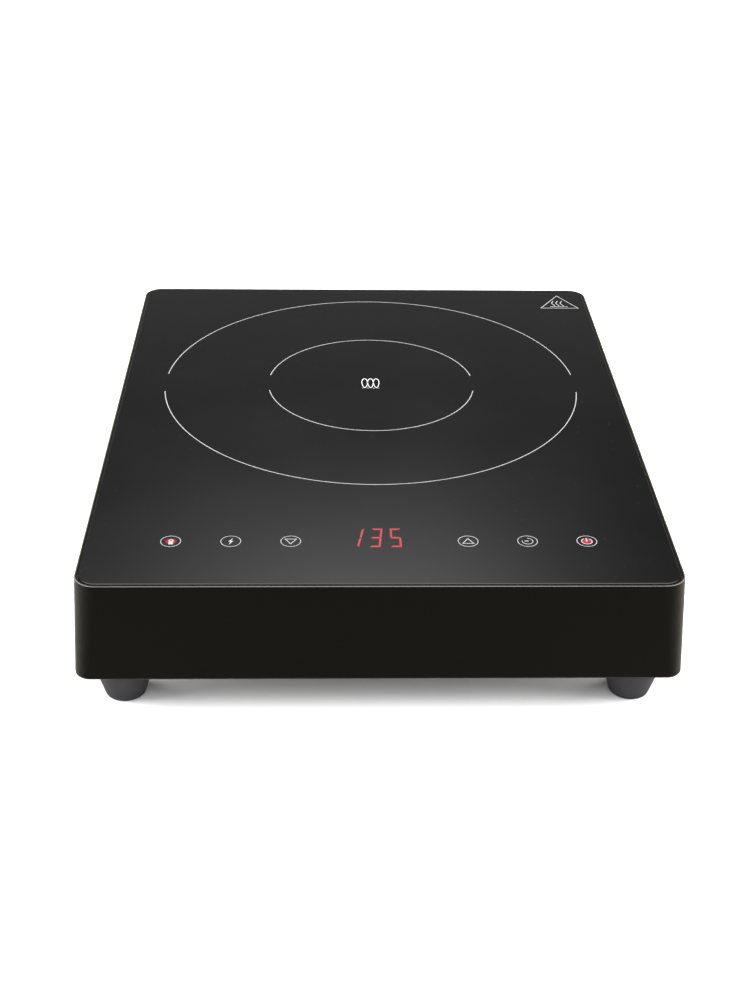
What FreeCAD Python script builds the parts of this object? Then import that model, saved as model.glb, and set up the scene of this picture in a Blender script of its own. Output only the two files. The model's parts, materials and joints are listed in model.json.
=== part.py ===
"""Single-zone table-top induction hob, in millimetres.

The frame: +Z up, +Y towards the rear, origin on the table under the middle of the hob.
Each function returns the shape of one node; the table at the end names the nodes and writes
one STEP file for each. A node of identical pieces, such as screws, is a compound of solids.
"""

import FreeCAD, Part

import math
import os

V = FreeCAD.Vector
UP = V(0, 0, 1)

# ---------------------------------------------------------------- driving dimensions
WIDTH = 300.0
DEPTH = 370.0
HEIGHT = 75.0
FOOT_HEIGHT = 20.5
CORNER_R = 11.0

# casing
BODY_BOTTOM = 20.0
WALL = 2.5
GLASS_T = 4.0
GLASS_TOP = HEIGHT
GLASS_BOTTOM = GLASS_TOP - GLASS_T
RIM_TOP = GLASS_TOP - 0.3
RIM_WIDTH = 1.5
SEAL_T = 0.5
LEDGE_TOP = GLASS_BOTTOM - SEAL_T
LEDGE_T = 3.0
LEDGE_BOTTOM = LEDGE_TOP - LEDGE_T
LEDGE_REACH = 10.0
INNER_X = WIDTH / 2 - WALL
INNER_Y = DEPTH / 2 - WALL

# draft: how far the walls lean out from the rim down to the open bottom; the rear wall is upright
SIDE_DRAFT = 3.0
FRONT_DRAFT = 2.0
CORNER_DRAFT = 3.0

# bottom cover
COVER_T = 2.0
COVER_GAP = 0.4
COVER_BOTTOM = FOOT_HEIGHT
COVER_TOP = COVER_BOTTOM + COVER_T
COVER_SCREWS = [(sx * 139.5, y) for sx in (-1, 1) for y in (-95.0, 120.0)]
COVER_SCREWS += [(0.0, -176.0), (0.0, 176.0)]
COVER_SCREW_R = 1.2
COVER_SCREW_LENGTH = 13.0

# feet
FOOT_TOP_R = 16.2
FOOT_BOTTOM_R = 10.2
FOOT_RECESS_R = 6.0
FOOT_RECESS_DEPTH = 6.0
FOOT_SCREW_R = 1.75
FOOT_BOSS_TOP = 30.0
FOOT_X = 130.0
FOOT_FRONT_Y = -167.8
FOOT_REAR_Y = 165.5

# rear wall: air outlet and cable bushing
OUTLET_SLOTS = 21
OUTLET_PITCH = 6.0
OUTLET_WIDTH = 3.0
OUTLET_LOW = 32.0
OUTLET_HIGH = 56.0
BUSHING_X = 105.0
BUSHING_Z = 42.0
BUSHING_BORE_R = 3.6
BUSHING_BARREL_R = 6.9
BUSHING_FLANGE_R = 9.5
BUSHING_FLANGE_T = 3.0

# touch controls, in a row behind the front edge
KEY_Y = -DEPTH / 2 + 42.5
KEY_FIRST_X = 45.0
KEY_PITCH = 30.3
KEY_XS = [s * (KEY_FIRST_X + i * KEY_PITCH) for s in (-1, 1) for i in range(3)]
CARRIER_LOW = 58.0
CARRIER_TOP = 60.0
CONTROL_PCB_LOW = 62.0
PCB_T = 1.6
CONTROL_PCB_TOP = CONTROL_PCB_LOW + PCB_T
CARRIER_POSTS = [(sx * 141.5, KEY_Y + dy) for sx in (-1, 1) for dy in (-16.0, 16.0)]
CONTROL_PCB_HOLES = [(sx * 116.0, KEY_Y + dy) for sx in (-1, 1) for dy in (-13.0, 13.0)]

# induction coil
COIL_Y = 38.2
COIL_TURNS = 21
COIL_PITCH = 2.85
COIL_INNER_R = 31.0
COIL_OUTER_R = COIL_INNER_R + COIL_TURNS * COIL_PITCH
FORMER_R = 95.0
FORMER_LOW = 62.0
FORMER_T = 2.0
WINDING_LOW = FORMER_LOW + FORMER_T
WINDING_T = 2.9
MICA_LOW = 67.4
MICA_T = 0.8
FERRITE_T = 5.0
FERRITE_W = 11.0
FERRITE_FROM, FERRITE_TO = 35.0, 88.0
FERRITE_ANGLES = [60.0 * i for i in range(6)]
EAR_ANGLES = [90.0, 210.0, 330.0]
EAR_R = 84.0
POST_TOP = 46.0
PIN_TOP = 56.0
EARS = [(EAR_R * math.cos(math.radians(a)), COIL_Y + EAR_R * math.sin(math.radians(a))) for a in EAR_ANGLES]
TAIL_X = 4.0

# fan, lying flat over the intake grille
FAN_X, FAN_Y = -85.0, 95.0
FAN_SIZE = 80.0
FAN_LOW = 25.5
FAN_HIGH = 45.5
FAN_BORE_R = 38.0
FAN_HOLE_SPACING = 71.5
FAN_HUB_R = 15.2
FAN_BLADES = 7
FAN_SHAFT_R = 1.5
BEARING_CLEARANCE = 0.05
FAN_HOLE_REACH = FAN_HOLE_SPACING / 2
FAN_HOLES = [(FAN_X + sx * FAN_HOLE_REACH, FAN_Y + sy * FAN_HOLE_REACH) for sx in (-1, 1) for sy in (-1, 1)]
GRILLE_R = 37.0
GRILLE_PITCH = 5.4
GRILLE_SLOT = 3.0

# power board, filter board and terminal block
BOARD_LOW = 30.0
BOARD_TOP = BOARD_LOW + PCB_T
POWER = (-35.0, 130.0, -114.0, -12.0)
POWER_HOLES = [(-30.0, -109.0), (125.0, -109.0), (-30.0, -17.0), (125.0, -17.0)]
FILTER = (62.0, 132.0, 62.0, 122.0)
FILTER_HOLES = [(66.0, 66.0), (128.0, 66.0), (66.0, 118.0), (128.0, 118.0)]
HEATSINK = (4.0, 118.0, -106.0, -60.0)
HEATSINK_LOW = 36.8
HEATSINK_HIGH = 58.0
HEATSINK_BASE_T = 4.0
HEATSINK_FINS = 15
FIN_T = 1.6
FIN_PITCH = (HEATSINK[1] - HEATSINK[0] - FIN_T) / (HEATSINK_FINS - 1)
PACKAGE_XS = [HEATSINK[0] + (FIN_T + FIN_PITCH) / 2 + i * FIN_PITCH for i in (3, 9)]
PACKAGE_Y = -83.0
STUD_XS = (12.0, 28.5)
STUD_Y = -34.5
STUD_WIRE_Z = BOARD_TOP + 4.5
TERMINAL = (88.0, 122.0, 142.0, 160.0)
TERMINAL_HIGH = 42.0
TERMINAL_SCREW_LOW = 34.0
TERMINAL_WIRE_Z = 30.5


# ---------------------------------------------------------------- shape helpers
def box(x0, x1, y0, y1, z0, z1):
    return Part.makeBox(x1 - x0, y1 - y0, z1 - z0, V(x0, y0, z0))


def cyl(x, y, z0, z1, r):
    return Part.makeCylinder(r, z1 - z0, V(x, y, z0), UP)


def cyl_y(x, z, y0, y1, r):
    """A cylinder along Y."""
    return Part.makeCylinder(r, y1 - y0, V(x, y0, z), V(0, 1, 0))


def tube(x, y, z0, z1, r_out, r_in):
    return cyl(x, y, z0, z1, r_out).cut(cyl(x, y, z0, z1, r_in))


def fuse(shapes):
    first, *rest = shapes
    whole = first.multiFuse(rest) if rest else first
    return whole.removeSplitter()


def cut(shape, tools):
    return shape.cut(Part.makeCompound(list(tools))) if tools else shape


def rounded_outline(w, d, r, z, cx=0.0, cy=0.0):
    """A closed wire: a rectangle w by d round (cx, cy) with corner arcs of radius r, at height z."""
    x, y = w / 2, d / 2
    k = r * (1 - math.sqrt(0.5))
    arcs = []
    for i, (sx, sy) in enumerate([(1, -1), (1, 1), (-1, 1), (-1, -1)]):
        on_side = V(cx + sx * x, cy + sy * (y - r), z)
        on_end = V(cx + sx * (x - r), cy + sy * y, z)
        middle = V(cx + sx * (x - k), cy + sy * (y - k), z)
        start, finish = (on_end, on_side) if i % 2 == 0 else (on_side, on_end)
        arcs.append((start, middle, finish))
    edges = []
    for i, (start, middle, finish) in enumerate(arcs):
        edges.append(Part.Arc(start, middle, finish).toShape())
        edges.append(Part.LineSegment(finish, arcs[(i + 1) % 4][0]).toShape())
    return Part.Wire(edges)


def slab(w, d, r, z0, z1, cx=0.0, cy=0.0):
    """A plate with rounded corners, from z0 to z1."""
    return Part.Face(rounded_outline(w, d, r, z0, cx, cy)).extrude(V(0, 0, z1 - z0))


def slab_between(bounds, r, z0, z1):
    x0, x1, y0, y1 = bounds
    return slab(x1 - x0, y1 - y0, r, z0, z1, (x0 + x1) / 2, (y0 + y1) / 2)


def round_edges(shape, radius, keep):
    """Rounds the edges whose bounding box passes the test keep."""
    chosen = [e for e in shape.Edges if keep(e.BoundBox)]
    return shape.makeFillet(radius, chosen)


def bevel_edges(shape, size, keep):
    chosen = [e for e in shape.Edges if keep(e.BoundBox)]
    return shape.makeChamfer(size, chosen)


def at_height(z, tolerance=0.01):
    """An edge that lies flat at height z."""
    return lambda b: abs(b.ZMin - z) < tolerance and abs(b.ZMax - z) < tolerance


def slot_x(x0, x1, y, w, z0, z1):
    """A vertical cutter for a slot along X with round ends."""
    r = w / 2
    ends = [cyl(x, y, z0, z1, r) for x in (x0 + r, x1 - r)]
    return fuse([box(x0 + r, x1 - r, y - r, y + r, z0, z1)] + ends)


def slot_upright(x, z0, z1, w, y0, y1):
    """A cutter through a wall along Y: an upright slot with round ends."""
    r = w / 2
    ends = [cyl_y(x, z, y0, y1, r) for z in (z0 + r, z1 - r)]
    return fuse([box(x - r, x + r, y0, y1, z0 + r, z1 - r)] + ends)


def revolved(points, x=0.0, y=0.0):
    """A solid of revolution about the vertical line through (x, y), from (radius, height) points."""
    loop = [V(x + r, y, z) for r, z in points]
    face = Part.Face(Part.makePolygon(loop + loop[:1]))
    return face.revolve(V(x, y, 0), UP, 360)


def turned(shape, degrees, x=0.0, y=0.0):
    """A copy turned about the vertical line through (x, y)."""
    copy = shape.copy()
    copy.rotate(V(x, y, 0), UP, degrees)
    return copy


def bent_path(points, share=0.45):
    """Straight runs joined by tangent arcs, each arc as large as its two runs allow."""
    p = [V(*q) for q in points]
    edges = []
    start = p[0]
    for i in range(1, len(p) - 1):
        a, b = p[i - 1] - p[i], p[i + 1] - p[i]
        half_turn = (math.pi - a.getAngle(b)) / 2
        reach = share * min(a.Length, b.Length)
        radius = reach / math.tan(half_turn)
        a.normalize()
        b.normalize()
        on_a, on_b = p[i] + a * reach, p[i] + b * reach
        towards = a + b
        towards.normalize()
        centre_distance = math.hypot(reach, radius)
        middle = p[i] + towards * (centre_distance - radius)
        edges.append(Part.LineSegment(start, on_a).toShape())
        edges.append(Part.Arc(on_a, middle, on_b).toShape())
        start = on_b
    edges.append(Part.LineSegment(start, p[-1]).toShape())
    return Part.Wire(edges)


def wire_along(points, r):
    """A round insulated wire along straight runs joined by arcs."""
    path = bent_path(points)
    along = V(*points[1]) - V(*points[0])
    profile = Part.Wire(Part.makeCircle(r, V(*points[0]), along))
    return path.makePipeShell([profile], True, False)


def spring(x, y, z0, z1, mean_r, wire_r, turns):
    """A compression spring of round wire, standing between z0 and z1."""
    height = z1 - z0 - 2 * wire_r
    helix = Part.makeHelix(height / turns, height, mean_r)
    profile = Part.Wire(Part.makeCircle(wire_r, V(mean_r, 0, 0), V(0, 1, 0)))
    coil = Part.Wire(helix).makePipeShell([profile], True, True)
    coil.translate(V(x, y, z0 + wire_r))
    return coil


def pan_screw(x, y, z_seat, head_r, head_t, shank_r, length, head_up):
    """A cross-recess pan-head screw whose head sits on z_seat."""
    s = 1 if head_up else -1
    lo, hi = sorted((z_seat, z_seat + s * head_t))
    head = cyl(x, y, lo, hi, head_r)
    head = round_edges(head, min(0.45 * head_t, 0.8), at_height(z_seat + s * head_t))
    lo, hi = sorted((z_seat, z_seat - s * length))
    shank = cyl(x, y, lo, hi, shank_r)
    arm, half = 0.55 * head_r, 0.14 * head_r
    top = z_seat + s * head_t
    lo, hi = sorted((top - s * 0.55 * head_t, top + s))
    cross = [box(x - a, x + a, y - b, y + b, lo, hi) for a, b in ((arm, half), (half, arm))]
    return cut(fuse([head, shank]), cross)


def group(shapes):
    return Part.makeCompound(list(shapes))


# ---------------------------------------------------------------- casing
def drafted(w, d, r, z0, z1):
    """A slab of that outline at its top; at its foot the sides and front have leant out by the full
    draft, and the corners are tighter."""
    low_w, low_d, low_r = w + 2 * SIDE_DRAFT, d + FRONT_DRAFT, r - CORNER_DRAFT
    low = rounded_outline(low_w, low_d, low_r, z0, 0.0, -FRONT_DRAFT / 2)
    return Part.makeLoft([low, rounded_outline(w, d, r, z1)], True, True)


def draft_share(z):
    """How much of the draft the inner wall has at a height."""
    return (LEDGE_BOTTOM - z) / (LEDGE_BOTTOM - BODY_BOTTOM)


def housing():
    """The moulded case: walls, the ledge that carries the glass and the thin rim round it."""
    outer = drafted(WIDTH, DEPTH, CORNER_R, BODY_BOTTOM, RIM_TOP)
    rim_w, rim_d = WIDTH - 2 * RIM_WIDTH, DEPTH - 2 * RIM_WIDTH
    open_w, open_d = 2 * (INNER_X - LEDGE_REACH), 2 * (INNER_Y - LEDGE_REACH)
    body = cut(
        outer,
        [
            drafted(2 * INNER_X, 2 * INNER_Y, CORNER_R - WALL, BODY_BOTTOM, LEDGE_BOTTOM),
            slab(open_w, open_d, 4.0, LEDGE_BOTTOM, LEDGE_TOP),
            slab(rim_w, rim_d, CORNER_R - RIM_WIDTH, LEDGE_TOP, RIM_TOP),
        ],
    )
    body = round_edges(body, 0.6, at_height(RIM_TOP))
    body = round_edges(body, 1.6, lambda b: at_height(BODY_BOTTOM)(b) and outside_wall(b))
    bosses = []
    holes = []
    for x, y in COVER_SCREWS:
        bosses.append(cyl(x, y, COVER_TOP, LEDGE_BOTTOM, 4.0))
        if x:
            wall_x = math.copysign(INNER_X + SIDE_DRAFT + 1.0, x)
            rib = box(min(x, wall_x), max(x, wall_x), y - 1.0, y + 1.0, COVER_TOP, LEDGE_BOTTOM)
        else:
            wall_y = INNER_Y if y > 0 else -INNER_Y - FRONT_DRAFT - 1.0
            rib = box(-1.0, 1.0, min(y, wall_y), max(y, wall_y), COVER_TOP, LEDGE_BOTTOM)
        bosses.append(rib.common(outer))
        holes.append(cyl(x, y, COVER_TOP, COVER_TOP + COVER_SCREW_LENGTH + 2.0, COVER_SCREW_R + 0.05))
    for x, y in CARRIER_POSTS:
        bosses.append(cyl(x, y, CARRIER_TOP, LEDGE_BOTTOM, 3.5))
        holes.append(cyl(x, y, CARRIER_TOP, LEDGE_BOTTOM - 1.5, 1.05))
    body = fuse([body] + bosses)
    y0, y1 = INNER_Y - 1.0, DEPTH / 2 + 1.0
    first = -OUTLET_PITCH * (OUTLET_SLOTS - 1) / 2
    xs = [first + i * OUTLET_PITCH for i in range(OUTLET_SLOTS)]
    slots = [slot_upright(x, OUTLET_LOW, OUTLET_HIGH, OUTLET_WIDTH, y0, y1) for x in xs if abs(x) > 4.0]
    holes.append(cyl_y(BUSHING_X, BUSHING_Z, y0, y1, BUSHING_BARREL_R + 0.1))
    return cut(body, slots + holes)


def outside_wall(b):
    """An edge that reaches the outer face of the case."""
    reach_x = max(abs(b.XMin), abs(b.XMax))
    at_front = b.YMin < -INNER_Y - FRONT_DRAFT - 1.0
    return reach_x > INNER_X + SIDE_DRAFT + 1.0 or b.YMax > INNER_Y + 1.0 or at_front


def glass_plate():
    w, d = WIDTH - 2 * (RIM_WIDTH + SEAL_T), DEPTH - 2 * (RIM_WIDTH + SEAL_T)
    plate = slab(w, d, CORNER_R - RIM_WIDTH - SEAL_T, GLASS_BOTTOM, GLASS_TOP)
    plate = bevel_edges(plate, 0.7, at_height(GLASS_TOP))
    return bevel_edges(plate, 0.4, at_height(GLASS_BOTTOM))


def glass_seal():
    """The silicone bed under the glass and the thin bead in the gap beside it."""
    w, d, r = WIDTH - 2 * RIM_WIDTH, DEPTH - 2 * RIM_WIDTH, CORNER_R - RIM_WIDTH
    outside = slab(w, d, r, LEDGE_TOP, RIM_TOP - 1.0)
    plate = slab(w - 2 * SEAL_T, d - 2 * SEAL_T, r - SEAL_T, GLASS_BOTTOM, RIM_TOP)
    set_back = LEDGE_REACH - 2.0
    hole = slab(2 * (INNER_X - set_back), 2 * (INNER_Y - set_back), 4.0, LEDGE_TOP, GLASS_BOTTOM)
    return cut(outside, [plate, hole])


def bottom_cover():
    """The flat base: intake grille, vents, posts for the boards, fan, coil and feet."""
    front = FRONT_DRAFT * draft_share(COVER_TOP)
    w = 2 * (INNER_X + SIDE_DRAFT * draft_share(COVER_TOP) - COVER_GAP)
    d = 2 * (INNER_Y - COVER_GAP) + front
    radius = CORNER_R - WALL - COVER_GAP - CORNER_DRAFT
    plate = slab(w, d, radius, COVER_BOTTOM, COVER_TOP, 0.0, -front / 2)
    plate = bevel_edges(plate, 0.5, at_height(COVER_BOTTOM))
    parts = [plate]
    half, tab_t, tab_top, tab_gap = 15.0, 1.5, COVER_TOP + 6.0, 0.7
    tab_x = INNER_X + SIDE_DRAFT * draft_share(tab_top) - tab_gap
    tab_front = -INNER_Y - FRONT_DRAFT * draft_share(tab_top) + tab_gap
    tab_rear = INNER_Y - tab_gap
    for x0, x1 in ((-tab_x, -tab_x + tab_t), (tab_x - tab_t, tab_x)):
        parts += [box(x0, x1, y - half, y + half, COVER_TOP, tab_top) for y in (-140.0, -30.0, 60.0, 150.0)]
    for y0, y1 in ((tab_front, tab_front + tab_t), (tab_rear - tab_t, tab_rear)):
        parts += [box(x - half, x + half, y0, y1, COVER_TOP, tab_top) for x in (-100.0, -45.0, 45.0, 80.0)]
    holes = [cyl(x, y, COVER_BOTTOM, COVER_TOP, 1.7) for x, y in COVER_SCREWS]
    for x, y in feet_places():
        parts.append(cyl(x, y, COVER_TOP, FOOT_BOSS_TOP, 6.0))
        holes.append(cyl(x, y, COVER_BOTTOM, FOOT_BOSS_TOP - 1.0, FOOT_SCREW_R + 0.05))
    for x, y in FAN_HOLES:
        parts.append(cyl(x, y, COVER_TOP, FAN_LOW, 4.0))
        holes.append(cyl(x, y, COVER_TOP - 1.2, FAN_LOW, 1.55))
    for x, y in POWER_HOLES + FILTER_HOLES:
        parts.append(cyl(x, y, COVER_TOP, BOARD_LOW, 3.2))
        holes.append(cyl(x, y, COVER_TOP, BOARD_LOW, 1.25))
    for x, y in EARS:
        parts.append(cyl(x, y, COVER_TOP, POST_TOP, 7.0))
        parts.append(cyl(x, y, POST_TOP, PIN_TOP, 3.6))
    return cut(fuse(parts), holes + intake_slots() + board_vents())


def intake_slots():
    """Parallel slots across a round field under the fan, in two halves with a bar between."""
    slots = []
    low, high = COVER_BOTTOM - 1, COVER_TOP + 1
    rows = int(GRILLE_R / GRILLE_PITCH)
    for i in range(-rows, rows + 1):
        y = i * GRILLE_PITCH
        half = math.sqrt(GRILLE_R**2 - y**2)
        for x0, x1 in ((-half, -1.5), (1.5, half)):
            slots.append(slot_x(FAN_X + x0, FAN_X + x1, FAN_Y + y, GRILLE_SLOT, low, high))
    return slots


def board_vents():
    """Two short rows of slots that let air in under the power board."""
    low, high = COVER_BOTTOM - 1, COVER_TOP + 1
    rows = [-62.0 + 6.0 * i for i in range(5)]
    return [slot_x(x, x + 34.0, y, GRILLE_SLOT, low, high) for y in rows for x in (8.0, 54.0)]


def cover_screws():
    length = COVER_T + COVER_SCREW_LENGTH
    sizes = (3.2, 1.8, COVER_SCREW_R, length)
    return group(pan_screw(x, y, COVER_BOTTOM, *sizes, False) for x, y in COVER_SCREWS)


# ---------------------------------------------------------------- feet
def feet_places():
    return [(sx * FOOT_X, y) for y in (FOOT_FRONT_Y, FOOT_REAR_Y) for sx in (-1, 1)]


def foot(x, y):
    """A tapered rubber foot with a recess for its screw."""
    solid = revolved([(0, 0), (FOOT_BOTTOM_R, 0), (FOOT_TOP_R, FOOT_HEIGHT), (0, FOOT_HEIGHT)], x, y)
    solid = round_edges(solid, 1.2, at_height(0.0))
    recess = cyl(x, y, 0, FOOT_RECESS_DEPTH, FOOT_RECESS_R)
    return cut(solid, [recess, cyl(x, y, 0, FOOT_HEIGHT, FOOT_SCREW_R + 0.3)])


def foot_screws():
    length = FOOT_BOSS_TOP - 2.0 - FOOT_RECESS_DEPTH
    sizes = (4.2, 2.6, FOOT_SCREW_R, length)
    return group(pan_screw(x, y, FOOT_RECESS_DEPTH, *sizes, False) for x, y in feet_places())


# ---------------------------------------------------------------- cable bushing
def cable_bushing():
    """The round bushing in the rear wall that the supply cord passes through."""
    outside = DEPTH / 2
    flange = cyl_y(BUSHING_X, BUSHING_Z, outside, outside + BUSHING_FLANGE_T, BUSHING_FLANGE_R)
    flange = round_edges(flange, 1.0, lambda b: b.YMin > outside + BUSHING_FLANGE_T - 0.01)
    barrel = cyl_y(BUSHING_X, BUSHING_Z, outside - 13.0, outside, BUSHING_BARREL_R)
    bore = cyl_y(BUSHING_X, BUSHING_Z, outside - 14.0, outside + 4.0, BUSHING_BORE_R)
    return fuse([flange, barrel]).cut(bore)


def bushing_nut():
    """The six-sided lock nut inside the rear wall."""
    y1 = INNER_Y
    y0 = y1 - 5.0
    corner_r = 11.0
    points = []
    for i in range(6):
        a = math.radians(60.0 * i)
        points.append(V(BUSHING_X + corner_r * math.cos(a), y0, BUSHING_Z + corner_r * math.sin(a)))
    nut = Part.Face(Part.makePolygon(points + points[:1])).extrude(V(0, y1 - y0, 0))
    return nut.cut(cyl_y(BUSHING_X, BUSHING_Z, y0, y1, BUSHING_BARREL_R + 0.05))


# ---------------------------------------------------------------- touch controls
def control_carrier():
    """The tray that holds the touch board up under the glass."""
    tray = slab(270.0, 42.0, 3.0, CARRIER_LOW, CARRIER_TOP, 0.0, KEY_Y)
    ears = []
    for x, y in CARRIER_POSTS:
        ears.append(slab(18.0, 12.0, 4.0, CARRIER_LOW, CARRIER_TOP, x - math.copysign(5.0, x), y))
    posts = [cyl(x, y, CARRIER_TOP, CONTROL_PCB_LOW, 3.0) for x, y in CONTROL_PCB_HOLES]
    rib_top = CONTROL_PCB_TOP + 0.8
    ribs = [slab(250.0, 1.5, 0.5, CARRIER_TOP, rib_top, 0.0, y) for y in (KEY_Y - 20.0, KEY_Y + 20.0)]
    windows = [slab(26.0, 20.0, 2.0, CARRIER_LOW, CARRIER_TOP, x, KEY_Y) for x in (-90.0, -55.0, 55.0, 90.0)]
    holes = [cyl(x, y, CARRIER_LOW, CARRIER_TOP, 1.5) for x, y in CARRIER_POSTS]
    holes += [cyl(x, y, CARRIER_LOW, CONTROL_PCB_LOW, 0.95) for x, y in CONTROL_PCB_HOLES]
    return cut(fuse([tray] + ears + posts + ribs), windows + holes)


def carrier_screws():
    return group(pan_screw(x, y, CARRIER_LOW, 2.8, 1.6, 1.0, 7.0, False) for x, y in CARRIER_POSTS)


def control_board():
    board = slab(240.0, 36.0, 1.5, CONTROL_PCB_LOW, CONTROL_PCB_TOP, 0.0, KEY_Y)
    return cut(board, [cyl(x, y, CONTROL_PCB_LOW, CONTROL_PCB_TOP, 1.3) for x, y in CONTROL_PCB_HOLES])


def control_board_screws():
    return group(pan_screw(x, y, CONTROL_PCB_TOP, 2.2, 1.4, 0.9, 5.0, True) for x, y in CONTROL_PCB_HOLES)


def touch_sleeves():
    """One sleeve of conductive rubber for each key, pressed against the underside of the glass."""
    return group(tube(x, KEY_Y, CONTROL_PCB_TOP, GLASS_BOTTOM, 4.6, 3.4) for x in KEY_XS)


def key_lamps():
    """Small light-emitting diodes inside the sensing sleeves."""
    lamps = []
    for x in KEY_XS:
        base = box(x - 1.0, x + 1.0, KEY_Y - 1.4, KEY_Y + 1.4, CONTROL_PCB_TOP, CONTROL_PCB_TOP + 0.8)
        dome = cyl(x, KEY_Y, CONTROL_PCB_TOP + 0.8, CONTROL_PCB_TOP + 1.6, 0.9)
        lamps.append(fuse([base, dome]))
    return group(lamps)


def display_module():
    """A three-digit display: a block with seven sunk bars for each digit."""
    top = GLASS_BOTTOM - 0.3
    block = slab(34.0, 24.0, 1.0, CONTROL_PCB_TOP, top, 0.0, KEY_Y)
    bars = []
    half_w, half_h, half_t, gap, sunk = 2.9, 8.4, 0.5, 0.8, 0.4
    for cx in (-10.0, 0.0, 10.0):
        for y in (KEY_Y - half_h, KEY_Y, KEY_Y + half_h):
            reach = half_w - gap
            bars.append(box(cx - reach, cx + reach, y - half_t, y + half_t, top - sunk, top))
        for x in (cx - half_w, cx + half_w):
            for y in (KEY_Y - half_h / 2, KEY_Y + half_h / 2):
                reach = half_h / 2 - gap
                bars.append(box(x - half_t, x + half_t, y - reach, y + reach, top - sunk, top))
    return cut(block, bars)


def control_chips():
    """Touch controller, display driver and their small parts on the top of the board."""
    top = CONTROL_PCB_TOP
    chips = [box(-30.0, -20.0, KEY_Y - 5.0, KEY_Y + 5.0, top, top + 1.4)]
    chips.append(box(21.0, 29.0, KEY_Y - 3.0, KEY_Y + 3.0, top, top + 1.4))
    chips += [box(x, x + 2.0, KEY_Y + 12.0, KEY_Y + 13.2, top, top + 0.8) for x in range(-100, 101, 20)]
    return group(chips)


# ---------------------------------------------------------------- coil
def radial(shape, angles):
    """Copies of a shape drawn along +X from the coil's axis, turned to each angle."""
    return [turned(shape, a, 0.0, COIL_Y) for a in angles]


def coil_former():
    """The moulded disc that carries the winding, with spokes, a hub and channels for the ferrites."""
    top = FORMER_LOW + FORMER_T
    disc = cyl(0, COIL_Y, FORMER_LOW, top, FORMER_R)
    inner, outer = 37.0, 84.0
    sector_half = 20.0
    window = ring_sector(inner, outer, 30.0 - sector_half / 2, 30.0 + sector_half / 2, FORMER_LOW, top)
    disc = cut(disc, [turned(window, a, 0.0, COIL_Y) for a in (0.0, 120.0, 240.0)])
    rim = tube(0, COIL_Y, top, MICA_LOW, FORMER_R, FORMER_R - 1.6)
    hub = tube(0, COIL_Y, top, MICA_LOW, 29.0, 27.0)
    neck = cyl(0, COIL_Y, FORMER_LOW - 3.0, top, 14.0)
    near, far = FERRITE_W / 2 + 0.2, FERRITE_W / 2 + 1.4
    channels = []
    for y0, y1 in ((COIL_Y + near, COIL_Y + far), (COIL_Y - far, COIL_Y - near)):
        cheek = box(FERRITE_FROM, FERRITE_TO, y0, y1, FORMER_LOW - 4.0, FORMER_LOW)
        channels += radial(cheek, FERRITE_ANGLES)
    studs = [cyl(x, y, FORMER_LOW - 3.0, FORMER_LOW, 3.2) for x, y in EARS]
    body = fuse([disc, rim, hub, neck] + channels + studs)
    return body.cut(cyl(0, COIL_Y, FORMER_LOW - 4.0, top + 1.0, 5.3))


def ring_sector(r_in, r_out, a0, a1, z0, z1):
    """Part of a flat ring about the coil's axis, between two angles in degrees."""
    outer = Part.makeCylinder(r_out, z1 - z0, V(0, COIL_Y, z0), UP, a1 - a0)
    inner = Part.makeCylinder(r_in, z1 - z0, V(0, COIL_Y, z0), UP, a1 - a0)
    return turned(outer.cut(inner), a0, 0.0, COIL_Y)


def coil_winding():
    """The flat winding as one ring, with a low ridge on top for each turn."""
    z = WINDING_LOW
    groove = z + WINDING_T - 0.8
    outline = [(COIL_OUTER_R, z), (COIL_INNER_R, z), (COIL_INNER_R, groove)]
    for i in range(COIL_TURNS):
        r = COIL_INNER_R + i * COIL_PITCH
        outline += [(r + COIL_PITCH / 2, z + WINDING_T), (r + COIL_PITCH, groove)]
    return revolved(outline, 0.0, COIL_Y)


def ferrite_bars():
    y0, low = COIL_Y - FERRITE_W / 2, FORMER_LOW - FERRITE_T
    bar = box(FERRITE_FROM, FERRITE_TO, y0, y0 + FERRITE_W, low, FORMER_LOW)
    bar = bevel_edges(bar, 0.4, at_height(low))
    return group(radial(bar, FERRITE_ANGLES))


def mica_sheet():
    return tube(0, COIL_Y, MICA_LOW, MICA_LOW + MICA_T, 94.5, 15.0)


def coil_springs():
    """Three springs that press the coil carrier up towards the glass."""
    return group(spring(x, y, POST_TOP, FORMER_LOW, 5.2, 0.6, 5.0) for x, y in EARS)


def temperature_sensor():
    """The sensor under the middle of the glass: a soft cap on a stem through the former's neck."""
    stem = cyl(0, COIL_Y, 55.0, 66.0, 5.0)
    cap = round_edges(cyl(0, COIL_Y, 66.0, GLASS_BOTTOM, 9.5), 0.8, at_height(GLASS_BOTTOM))
    return fuse([stem, cap])


def coil_leads():
    """Two sleeved tails of the winding, down through a window to the power board's studs."""
    inner_y, outer_y = COIL_Y - 41.0, COIL_Y - 77.0
    inner_end = [
        (TAIL_X, inner_y, WINDING_LOW),
        (TAIL_X, inner_y, 55.0),
        (TAIL_X + 4.0, inner_y - 7.0, 48.0),
        (TAIL_X + 12.0, inner_y - 17.0, 43.5),
        (STUD_XS[1], STUD_Y + 9.0, 41.0),
        (STUD_XS[1], STUD_Y + 4.8, STUD_WIRE_Z),
    ]
    outer_end = [
        (-TAIL_X, outer_y, WINDING_LOW),
        (-TAIL_X, outer_y, 54.0),
        (-TAIL_X + 1.0, outer_y + 3.0, 47.0),
        (STUD_XS[0] - 9.5, STUD_Y + 2.0, 41.0),
        (STUD_XS[0] - 4.8, STUD_Y, STUD_WIRE_Z),
    ]
    return group(wire_along(route, 1.9) for route in (inner_end, outer_end))


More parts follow.
